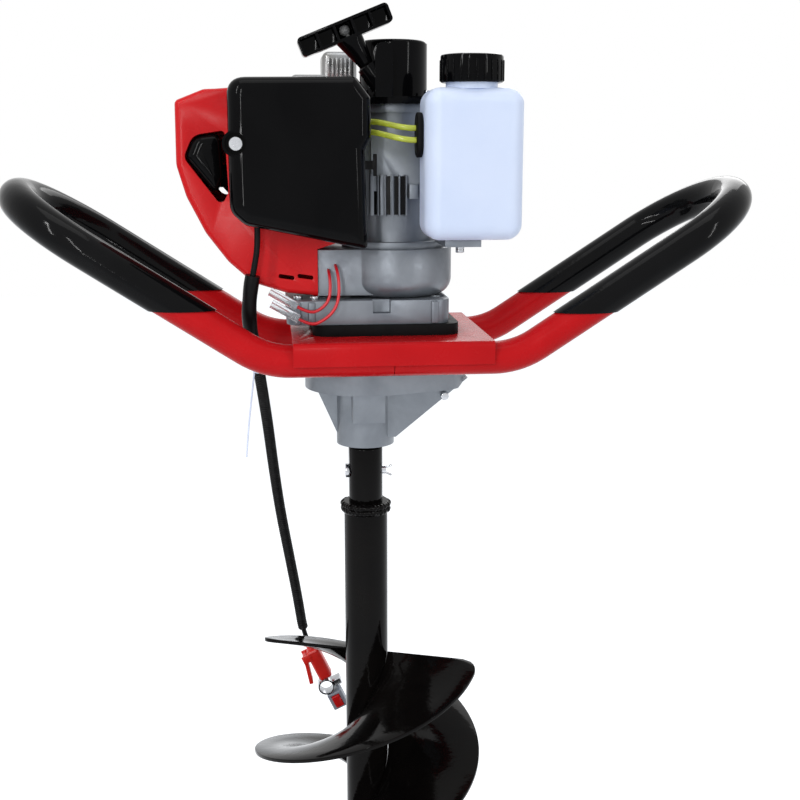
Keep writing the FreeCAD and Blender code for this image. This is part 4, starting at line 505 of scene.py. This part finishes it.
def repeated(name, kind, places, turns, size, slot, body, edge=0.0, sides=32, jitter=0.0):
    mesh = bpy.data.meshes.new(name)
    mesh.from_pydata(places, [], [])
    marks = mesh.attributes.new("turn", "FLOAT_VECTOR", "POINT")
    for mark, turn in zip(marks.data, turns):
        mark.vector = turn
    piece = bpy.data.objects.new(name, mesh)
    scene.collection.objects.link(piece)
    applyTree(piece, repeatTrees[kind], {"Size": size, "Sides": sides, "Jitter": jitter,
                                         "Material": finishes[slot]})
    if edge:
        bevel = piece.modifiers.new("edge", "BEVEL")
        bevel.width = edge
        bevel.segments = repeats["bevelSegments"]
        bevel.limit_method = "ANGLE"
    baked = bake(piece)
    bpy.data.objects.remove(piece)
    baked.name = name
    addPiece(name, baked, slot, body, repeats["smooth"])


# Softened copies of the cast, moulded and cut pieces.
edgeWidths = {
    "mounting_plate": 0.0006, "rubber_pad": 0.002, "clutch_housing": 0.0012, "fan_housing": 0.0012,
    "crankcase": 0.0012, "gear_case": 0.0014, "gear_case_cover": 0.001, "cylinder": 0.0004,
    "carburettor": 0.0006, "intake_manifold": 0.0006, "air_cleaner_base": 0.0008,
    "starter_housing": 0.0012, "starter_handle": 0.0012, "muffler": 0.0006, "choke_lever": 0.0006,
    "fuel_cap": 0.0016, "tank_grommet": 0.0012, "bit_socket": 0.0008, "drive_pin": 0.0004,
    "throttle_lever": 0.0008, "cable_clamp": 0.0004, "switch_body": 0.0005, "switch_rocker": 0.0006,
    "throttle_body": 0.0006, "engine_shroud": 0.0008, "cutting_blades": 0.0005, "blade_bolts": 0.0005,
}
shown = {node: softened(node, width) for node, width in edgeWidths.items()}

# The shroud's crown sits below the air cleaner's top.
shroudTop = dict(level=0.216, squeeze=0.45)
for vertex in shown["engine_shroud"].data.vertices:
    above = vertex.co.z - shroudTop["level"]
    if above > 0:
        vertex.co.z = shroudTop["level"] + above * shroudTop["squeeze"]
print("edges broken on", len(edgeWidths), "pieces")


# Control cable, its sleeve and its split conduit.
cable = dict(
    length=0.4976, radius=0.0025, conduitRadius=0.0052, sleeveRadius=0.0062,
    ribPitch=0.0026, ribDepth=0.0011, sleeveTop=0.070, sleeveEnd=0.004, conduitTop=0.003,
    conduitEnd=-0.318, step=0.0005, sag=0.00015, sagTurn=0.11,
    route=[(-0.093, -0.058, 0.110), (-0.093, -0.058, 0.094), (-0.096, -0.058, 0.078),
           (-0.100, -0.0565, 0.058), (-0.102, -0.0515, 0.036), (-0.100, -0.040, 0.012),
           (-0.0955, -0.023, -0.012), (-0.0925, 0.002, -0.040), (-0.0885, 0.032, -0.078),
           (-0.0845, 0.057, -0.123), (-0.0785, 0.079, -0.177), (-0.070, 0.098, -0.232),
           (-0.062, 0.113, -0.284), (-0.05684, 0.121, -0.3244), (-0.0505, 0.121, -0.338)])


def cordCurve(name, route, radius, slot, body):
    curve = routeLine(route)
    curve.bevel_depth = radius
    curve.bevel_resolution = 6
    curve.use_fill_caps = True
    curve.materials.append(finishes[slot])
    piece = bpy.data.objects.new(name, curve)
    scene.collection.objects.link(piece)
    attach(piece, body)
    return piece


def makeCable():
    inner = cordCurve("controlCable", cable["route"], cable["radius"], "black_matt_plastic",
                      bodyOf["throttle_cable"])
    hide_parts("throttle_cable")
    line = evenly(lineOf(cable["route"]), cable["step"])
    sleeve = [p for p in line if cable["sleeveEnd"] <= p.z <= cable["sleeveTop"]]
    conduit = [p for p in line if cable["conduitEnd"] <= p.z <= cable["conduitTop"]]
    sleeveRadii = [cable["sleeveRadius"] + cable["sag"] * math.sin(k * cable["sagTurn"])
                   for k in range(len(sleeve))]
    over = addPiece("cableSleeve", tubeMesh("cableSleeve", sleeve, sleeveRadii),
                    "black_matt_plastic", bodyOf["cable_conduit"])
    ribs = []
    for k in range(len(conduit)):
        wave = 0.5 + 0.5 * math.cos(2 * math.pi * k * cable["step"] / cable["ribPitch"])
        ribs.append(cable["conduitRadius"] - cable["ribDepth"] * (1 - wave) ** 2)
    ribbed = addPiece("cableConduit", tubeMesh("cableConduit", conduit, ribs),
                      "black_matt_plastic", bodyOf["cable_conduit"], 60.0)
    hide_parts("cable_conduit")


makeCable()
print("control cable made")


# Fuel hoses and the stop switch's wires.
hoses = dict(
    radius=0.0024, lengths=(0.0809, 0.0899),
    routes=[[(0.037, -0.074, 0.180), (0.028, -0.074, 0.180), (0.0075, -0.067, 0.1855),
             (-0.002, -0.058, 0.187), (-0.008, -0.054, 0.179), (-0.0095, -0.054, 0.1685),
             (-0.013, -0.055, 0.160), (-0.021, -0.055, 0.160)],
            [(0.037, -0.070, 0.1895), (0.028, -0.070, 0.1895), (0.008, -0.0615, 0.1945),
             (-0.0025, -0.051, 0.195), (-0.009, -0.0468, 0.186), (-0.010, -0.047, 0.1735),
             (-0.013, -0.049, 0.160), (-0.021, -0.049, 0.160)]])
wires = dict(
    radius=0.0013, lengths=(0.0829, 0.0657),
    routes=[[(-0.028, -0.04005, 0.076), (-0.028, -0.05005, 0.076), (-0.026, -0.056, 0.067),
             (-0.026, -0.059, 0.051), (-0.030, -0.0605, 0.040), (-0.039, -0.0615, 0.032),
             (-0.050, -0.0618, 0.0275), (-0.0603735, -0.0615588, 0.033531)],
            [(-0.034, -0.04005, 0.072), (-0.034, -0.05005, 0.072), (-0.033, -0.055, 0.062),
             (-0.034, -0.058, 0.049), (-0.041, -0.059, 0.041), (-0.051, -0.0595, 0.0375),
             (-0.0613735, -0.0592588, 0.043531)]])


def makeCords(name, cords, slot, node):
    for number, (route, length) in enumerate(zip(cords["routes"], cords["lengths"]), 1):
        piece = cordCurve(name + str(number), route, cords["radius"], slot, bodyOf[node])
    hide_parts(node)


makeCords("fuelHose", hoses, "clear_hose", "fuel_hoses")
makeCords("stopWire", wires, "wire_red", "stop_wires")
print("hoses and wires made")


# Helical flights: a strip wound about the drill tube, with a rounded corner at its top.
flights = dict(inner=0.0202, outer=0.108, pitch=0.216, drop=930.0, start=-20.0, top=-0.292,
               thickness=0.0036, corner=0.016, along=620, across=7, starts=2, edge=0.0007,
               edgeSteps=2, sharp=50.0, merge=0.000001)


def makeFlightTree():
    tree, start, end = newTree("helicalFlights", [
        ("Inner", "Float"), ("Outer", "Float"), ("Pitch", "Float"), ("Drop", "Float"),
        ("Start", "Float"), ("Top", "Float"), ("Thickness", "Float"), ("Corner", "Float"),
        ("Along", "Int"), ("Across", "Int"), ("Starts", "Int"), ("Material", "Material")])
    given = start.outputs
    grid = tree.nodes.new("GeometryNodeMeshGrid")
    grid.inputs["Size X"].default_value = 1.0
    grid.inputs["Size Y"].default_value = 1.0
    tree.links.new(given["Along"], grid.inputs["Vertices X"])
    tree.links.new(given["Across"], grid.inputs["Vertices Y"])
    flat = tree.nodes.new("ShaderNodeSeparateXYZ")
    tree.links.new(tree.nodes.new("GeometryNodeInputPosition").outputs[0], flat.inputs[0])
    down = calc(tree, "ADD", flat.outputs["X"], 0.5)
    out = calc(tree, "ADD", flat.outputs["Y"], 0.5)
    fall = calc(tree, "MULTIPLY", down, given["Drop"])
    angle = calc(tree, "RADIANS", calc(tree, "SUBTRACT", given["Start"], fall))
    run = calc(tree, "MULTIPLY", calc(tree, "RADIANS", fall), given["Outer"])
    short = calc(tree, "MAXIMUM", calc(tree, "SUBTRACT", given["Corner"], run), 0.0)
    square = calc(tree, "SUBTRACT", calc(tree, "MULTIPLY", given["Corner"], given["Corner"]),
                  calc(tree, "MULTIPLY", short, short))
    rounded = calc(tree, "SQRT", calc(tree, "MAXIMUM", square, 0.0))
    edge = calc(tree, "ADD", calc(tree, "SUBTRACT", given["Outer"], given["Corner"]), rounded)
    reach = calc(tree, "ADD", given["Inner"],
                 calc(tree, "MULTIPLY", out, calc(tree, "SUBTRACT", edge, given["Inner"])))
    lost = calc(tree, "MULTIPLY", given["Pitch"], calc(tree, "DIVIDE", fall, 360.0))
    level = calc(tree, "SUBTRACT", calc(tree, "SUBTRACT", given["Top"], lost), given["Thickness"])
    spot = tree.nodes.new("ShaderNodeCombineXYZ")
    tree.links.new(calc(tree, "MULTIPLY", reach, calc(tree, "COSINE", angle)), spot.inputs["X"])
    tree.links.new(calc(tree, "MULTIPLY", reach, calc(tree, "SINE", angle)), spot.inputs["Y"])
    tree.links.new(level, spot.inputs["Z"])
    wound = tree.nodes.new("GeometryNodeSetPosition")
    tree.links.new(grid.outputs["Mesh"], wound.inputs["Geometry"])
    tree.links.new(spot.outputs[0], wound.inputs["Position"])
    thick = tree.nodes.new("GeometryNodeExtrudeMesh")
    thick.mode = "FACES"
    thick.inputs["Individual"].default_value = False
    lift = tree.nodes.new("ShaderNodeCombineXYZ")
    tree.links.new(given["Thickness"], lift.inputs["Z"])
    tree.links.new(wound.outputs[0], thick.inputs["Mesh"])
    tree.links.new(lift.outputs[0], thick.inputs["Offset"])
    thick.inputs["Offset Scale"].default_value = 1.0
    under = tree.nodes.new("GeometryNodeFlipFaces")
    tree.links.new(wound.outputs[0], under.inputs[0])
    both = tree.nodes.new("GeometryNodeJoinGeometry")
    tree.links.new(thick.outputs["Mesh"], both.inputs[0])
    tree.links.new(under.outputs[0], both.inputs[0])
    closed = tree.nodes.new("GeometryNodeMergeByDistance")
    closed.inputs["Distance"].default_value = flights["merge"]
    tree.links.new(both.outputs[0], closed.inputs[0])
    points = tree.nodes.new("GeometryNodePoints")
    tree.links.new(given["Starts"], points.inputs["Count"])
    spin = tree.nodes.new("ShaderNodeCombineXYZ")
    number = tree.nodes.new("GeometryNodeInputIndex")
    tree.links.new(calc(tree, "MULTIPLY", number.outputs[0], math.pi), spin.inputs["Z"])
    swing = tree.nodes.new("FunctionNodeEulerToRotation")
    tree.links.new(spin.outputs[0], swing.inputs[0])
    place = tree.nodes.new("GeometryNodeInstanceOnPoints")
    tree.links.new(points.outputs[0], place.inputs["Points"])
    tree.links.new(closed.outputs[0], place.inputs["Instance"])
    tree.links.new(swing.outputs[0], place.inputs["Rotation"])
    endTree(tree, start, end, place.outputs["Instances"])
    return tree


def makeFlights():
    holder = bpy.data.objects.new("drillFlights", bpy.data.meshes.new("drillFlights"))
    scene.collection.objects.link(holder)
    applyTree(holder, makeFlightTree(), {
        "Inner": flights["inner"], "Outer": flights["outer"], "Pitch": flights["pitch"],
        "Drop": flights["drop"], "Start": flights["start"], "Top": flights["top"],
        "Thickness": flights["thickness"], "Corner": flights["corner"], "Along": flights["along"],
        "Across": flights["across"], "Starts": flights["starts"],
        "Material": finishes["black_paint"]})
    bevel = holder.modifiers.new("edge", "BEVEL")
    bevel.width = flights["edge"]
    bevel.segments = flights["edgeSteps"]
    bevel.limit_method = "ANGLE"
    bevel.angle_limit = math.radians(flights["sharp"])
    mesh = bake(holder)
    bpy.data.objects.remove(holder)
    piece = addPiece("drillFlights", mesh, "black_paint", bodyOf["drill_flights"], 40.0)
    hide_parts("drill_flights")


makeFlights()
print("flights made")


# Air cleaner cover: a moulded shell with a full round about its face and a deep screw recess.
cover = dict(
    front=-0.100, depth=0.0284, wall=0.0022, round=0.012, steps=7, cornerSteps=8, tightest=0.0016,
    screw=(-0.108, 0.177), recess=0.0085, recessStart=-0.004, recessEnd=0.015,
    cupWall=0.002, cupStart=0.002, cupEnd=0.0172,
    corners=[(-0.114, 0.228, 0.015), (-0.013, 0.229, 0.007), (-0.001, 0.213, 0.006),
             (-0.001, 0.181, 0.004), (-0.006, 0.172, 0.004), (-0.004, 0.093, 0.004),
             (-0.102, 0.113, 0.014), (-0.114, 0.124, 0.014)])


def insetRing(corners, inset, y):  # the outline moved inwards, its corners rounded in equal steps
    places = [Vector((x, z)) for x, z, radius in corners]
    count = len(places)
    moved = []
    for number, place in enumerate(places):
        before = (place - places[number - 1]).normalized()
        after = (places[(number + 1) % count] - place).normalized()
        inwards = Vector((before.y, -before.x)) + Vector((after.y, -after.x))
        inwards = inwards / max(0.2, (1 + before.dot(after)))
        moved.append(place + inwards * inset)
    ring = []
    for number, place in enumerate(moved):
        before = (moved[number - 1] - place).normalized()
        after = (moved[(number + 1) % count] - place).normalized()
        radius = max(corners[number][2] - inset, cover["tightest"])
        longest = 0.45 * min((moved[number - 1] - place).length,
                             (moved[(number + 1) % count] - place).length)
        reach = min(radius / math.tan(before.angle(after) / 2), longest)
        start = place + before * reach
        finish = place + after * reach
        for step in range(cover["cornerSteps"] + 1):
            t = step / cover["cornerSteps"]
            point = start * (1 - t) ** 2 + place * (2 * t * (1 - t)) + finish * t ** 2
            ring.append(Vector((point.x, y, point.y)))
    return ring


def shellMesh(name, rings):
    work = bmesh.new()
    rows = [[work.verts.new(point) for point in ring] for ring in rings]
    for first, second in zip(rows, rows[1:]):
        for step in range(len(first)):
            after = (step + 1) % len(first)
            work.faces.new((first[step], first[after], second[after], second[step]))
    work.faces.new(list(reversed(rows[0])))
    work.faces.new(rows[-1])
    bmesh.ops.recalc_face_normals(work, faces=work.faces)
    mesh = bpy.data.meshes.new(name)
    work.to_mesh(mesh)
    work.free()
    return mesh


def roundedRings(corners, front, bend, inset=0.0):  # from the flat face round to the side
    rings = []
    for step in range(cover["steps"] + 1):
        turn = math.pi / 2 * step / cover["steps"]
        rings.append(insetRing(corners, inset + bend * (1 - math.sin(turn)),
                               front + bend * (1 - math.cos(turn))))
    return rings


def makeCover():
    corners, wall = cover["corners"], cover["wall"]
    front, back, bend = cover["front"], cover["front"] + cover["depth"], cover["round"]
    rings = roundedRings(corners, front, bend)
    rings.append(insetRing(corners, 0.0, back))
    rings.append(insetRing(corners, wall, back))
    rings.append(insetRing(corners, wall, front + bend))
    rings.append(insetRing(corners, bend, front + wall))
    shell = bpy.data.objects.new("airCleanerCover", shellMesh("airCleanerCover", rings))
    scene.collection.objects.link(shell)
    place = Vector((cover["screw"][0], front, cover["screw"][1]))
    tools = []
    for name, radius, start, finish in (
            ("recessCup", cover["recess"] + cover["cupWall"], cover["cupStart"], cover["cupEnd"]),
            ("recessHole", cover["recess"], cover["recessStart"], cover["recessEnd"])):
        line = [place + Vector((0, start, 0)), place + Vector((0, finish, 0))]
        tool = bpy.data.objects.new(name, tubeMesh(name, line, [radius, radius], 40))
        scene.collection.objects.link(tool)
        tools.append(tool)
    for tool, action in zip(tools, ("UNION", "DIFFERENCE")):
        cut = shell.modifiers.new(tool.name, "BOOLEAN")
        cut.operation = action
        cut.solver = "EXACT"
        cut.object = tool
    mesh = bake(shell)
    for thing in [shell] + tools:
        bpy.data.objects.remove(thing)
    piece = addPiece("airCleanerCover", mesh, "black_plastic", bodyOf["air_cleaner_cover"], 30.0)
    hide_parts("air_cleaner_cover")


makeCover()
print("air cleaner cover made")


# Plug cap boot: a glossy rounded lens that fills the shroud's teardrop opening.
boot = dict(front=-0.0475, back=-0.018, round=0.009, inset=0.0008,
            corners=[(-0.152, 0.166, 0.010), (-0.144, 0.184, 0.014), (-0.121, 0.187, 0.008),
                     (-0.119, 0.150, 0.010), (-0.126, 0.134, 0.006)])


def makeBoot():
    rings = roundedRings(boot["corners"], boot["front"], boot["round"], boot["inset"])
    rings.append(insetRing(boot["corners"], boot["inset"], boot["back"]))
    addPiece("plugBoot", shellMesh("plugBoot", rings), "black_plastic", bodyOf["plug_cap"], 40.0)


makeBoot()
print("plug boot made")


# Cable tie: a band round the cable under the plate, with its cut tail hanging.
tie = dict(band=0.0062, bandStart=(-0.0957, -0.024, -0.011), bandEnd=(-0.0951, -0.021, -0.0155),
           radius=0.0008, tail=[(-0.0985, -0.024, -0.014), (-0.101, -0.025, -0.035),
                                (-0.105, -0.024, -0.065), (-0.1076, -0.022, -0.095)])


def makeTie():
    ends = [Vector(tie["bandStart"]), Vector(tie["bandEnd"])]
    # the tie takes the tank's finish, its painted glow included
    addPiece("tieBand", tubeMesh("tieBand", ends, [tie["band"]] * 2, 32), "tank_plastic",
             bodyOf["throttle_cable"])
    line = evenly(lineOf(tie["tail"]), 0.002)
    addPiece("tieTail", tubeMesh("tieTail", line, [tie["radius"]] * len(line), 10), "tank_plastic",
             bodyOf["throttle_cable"])


makeTie()
print("cable tie made")


# Starter rope with its stopper knot: a straight run from the nose up to the handle.
rope = dict(foot=(0.00976, -0.034, 0.22732), lean=-34.0, length=0.0495, radius=0.0018,
            step=0.0004, lay=0.05, layTurn=1.3, fixedPart=0.006,
            knot=0.0045, knotRings=16, knotLay=0.08, knotTurn=2.1, knotEnd=0.0004)


def makeRope():
    lean = math.radians(rope["lean"])
    ahead = Vector((math.sin(lean), 0, math.cos(lean)))
    foot = Vector(rope["foot"])
    top = foot + ahead * rope["length"]
    count = int(rope["length"] / rope["step"])
    line = [foot.lerp(top, k / count) for k in range(count + 1)]
    radii = [rope["radius"] * (1 - rope["lay"] + rope["lay"] * math.sin(k * rope["layTurn"]))
             for k in range(count + 1)]
    piece = addPiece("starterRope", tubeMesh("starterRope", line, radii, 20), "rope", None, 60.0)
    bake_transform(piece)
    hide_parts("starter_rope")
    turns = [math.pi * (k / rope["knotRings"] - 0.5) for k in range(rope["knotRings"] + 1)]
    knotLine = [top + ahead * (rope["knot"] * math.sin(turn)) for turn in turns]
    knotRadii = [max(rope["knotEnd"], rope["knot"] * math.cos(turn)
                     * (1 + rope["knotLay"] * math.sin(k * rope["knotTurn"])))
                 for k, turn in enumerate(turns)]
    addPiece("ropeKnot", tubeMesh("ropeKnot", knotLine, knotRadii, 24), "rope",
             bodyOf["starter_handle"], 60.0)


makeRope()
print("starter rope made")


# Small repeated details.

upright = (0, 0, 0)
facingFront = (math.pi / 2, 0, 0)
capRibs = dict(centre=(0.08225, -0.073), radius=0.0255, level=0.2345, count=24,
               size=(0.0016, 0.0022, 0.0165), edge=0.0006)
weldBead = dict(radius=0.0203, levels=(-0.1476, -0.1518), count=34, drop=0.0029, tumble=0.4,
                jitter=0.22)
caseScrews = dict(places=[(0.070, -0.0195, -0.044), (0.033, -0.0375, -0.026)],
                  size=(0.0036, 0.0, 0.0045), edge=0.0008, sides=28)
earBolts = dict(places=[(0.076, -0.060, 0.0925), (0.076, -0.060, 0.0895)],
                size=(0.0038, 0.0, 0.004), edge=0.0006, sides=6)
starterBolts = dict(centre=(0.026, 0.0), radius=0.0365, level=0.2185,
                    turns=(-0.75, -2.4, 0.75, 2.4), size=(0.0036, 0.0, 0.006), edge=0.0008, sides=6)
blockBosses = dict(places=[(x, -0.0528, 0.0365) for x in (-0.061, -0.049, 0.056)],
                   size=(0.0062, 0.0036, 0.0195), edge=0.0012)
blockBolts = dict(places=[(-0.046, -0.040, 0.0482), (-0.060, -0.036, 0.0482)],
                  size=(0.004, 0.0, 0.004), edge=0.0007, sides=24)
fins = dict(centre=0.026, radius=0.0415, low=-30.0, high=8.0, count=6, level=0.1345,
            size=(0.0017, 0.010, 0.034), edge=0.0005, gapShadeRadius=0.040, gapShadeSize=(0.0056, 0.008, 0.032))


def roundPlaces(centre, radius, level, turns):  # places round an upright axis
    return [(centre[0] + radius * math.cos(turn), centre[1] + radius * math.sin(turn), level)
            for turn in turns]


def frontPlaces(centre, radius, level, turns):  # the same, counted from the front
    return [(centre + radius * math.sin(turn), -radius * math.cos(turn), level) for turn in turns]


def makeCapRibs():
    turns = [2 * math.pi * k / capRibs["count"] for k in range(capRibs["count"])]
    places = roundPlaces(capRibs["centre"], capRibs["radius"], capRibs["level"], turns)
    repeated("fuelCapRibs", "Block", places, [(0, 0, turn) for turn in turns], capRibs["size"],
             "black_plastic", bodyOf["fuel_cap"], capRibs["edge"])


def makeWeldBead():
    count = weldBead["count"]
    places, tumbles = [], []
    for row, level in enumerate(weldBead["levels"]):
        turns = [2 * math.pi * k / count for k in range(row * count, (row + 1) * count)]
        places += roundPlaces((0, 0), weldBead["radius"], level, turns)
        tumbles += [(0, weldBead["tumble"] * (row * count + k), turn)
                    for k, turn in enumerate(turns)]
    repeated("weldBead", "Drop", places, tumbles, (weldBead["drop"], 0.0, 0.0), "black_paint",
             bodyOf["drill_tube"], jitter=weldBead["jitter"])


def makeRods(name, plan, slot, body, turn=upright):
    places = plan.get("places") or roundPlaces(plan["centre"], plan["radius"], plan["level"],
                                               plan["turns"])
    repeated(name, "Rod", places, [turn] * len(places), plan["size"], slot, body, plan["edge"],
             plan["sides"])


def makeFins():
    low, high, last = math.radians(fins["low"]), math.radians(fins["high"]), fins["count"] - 1
    turns = [low + (high - low) * k / last for k in range(fins["count"])]
    repeated("barrelFins", "Block", frontPlaces(fins["centre"], fins["radius"], fins["level"], turns),
             [(0, 0, turn) for turn in turns], fins["size"], "cast_grey", bodyOf["cylinder"],
             fins["edge"])
    # Painted shade: dark matt blocks set into the gaps between the fins stand in for the shade there.
    gaps = [(first + second) / 2 for first, second in zip(turns, turns[1:])]
    repeated("finGapShade", "Block", frontPlaces(fins["centre"], fins["gapShadeRadius"], fins["level"], gaps),
             [(0, 0, gap) for gap in gaps], fins["gapShadeSize"], "black_matt_plastic",
             bodyOf["cylinder"])


makeCapRibs()
makeWeldBead()
makeRods("caseScrewHeads", caseScrews, "bearing_steel", bodyOf["gear_case"], facingFront)
makeRods("earBolts", earBolts, "bearing_steel", bodyOf["crankcase"])
makeRods("starterBolts", starterBolts, "bearing_steel", bodyOf["starter_housing"])
repeated("blockBosses", "Block", blockBosses["places"], [upright] * 3, blockBosses["size"],
         "cast_grey", bodyOf["clutch_housing"], blockBosses["edge"])
makeRods("blockBolts", blockBolts, "bearing_steel", bodyOf["clutch_housing"])
makeFins()
print("small details made")
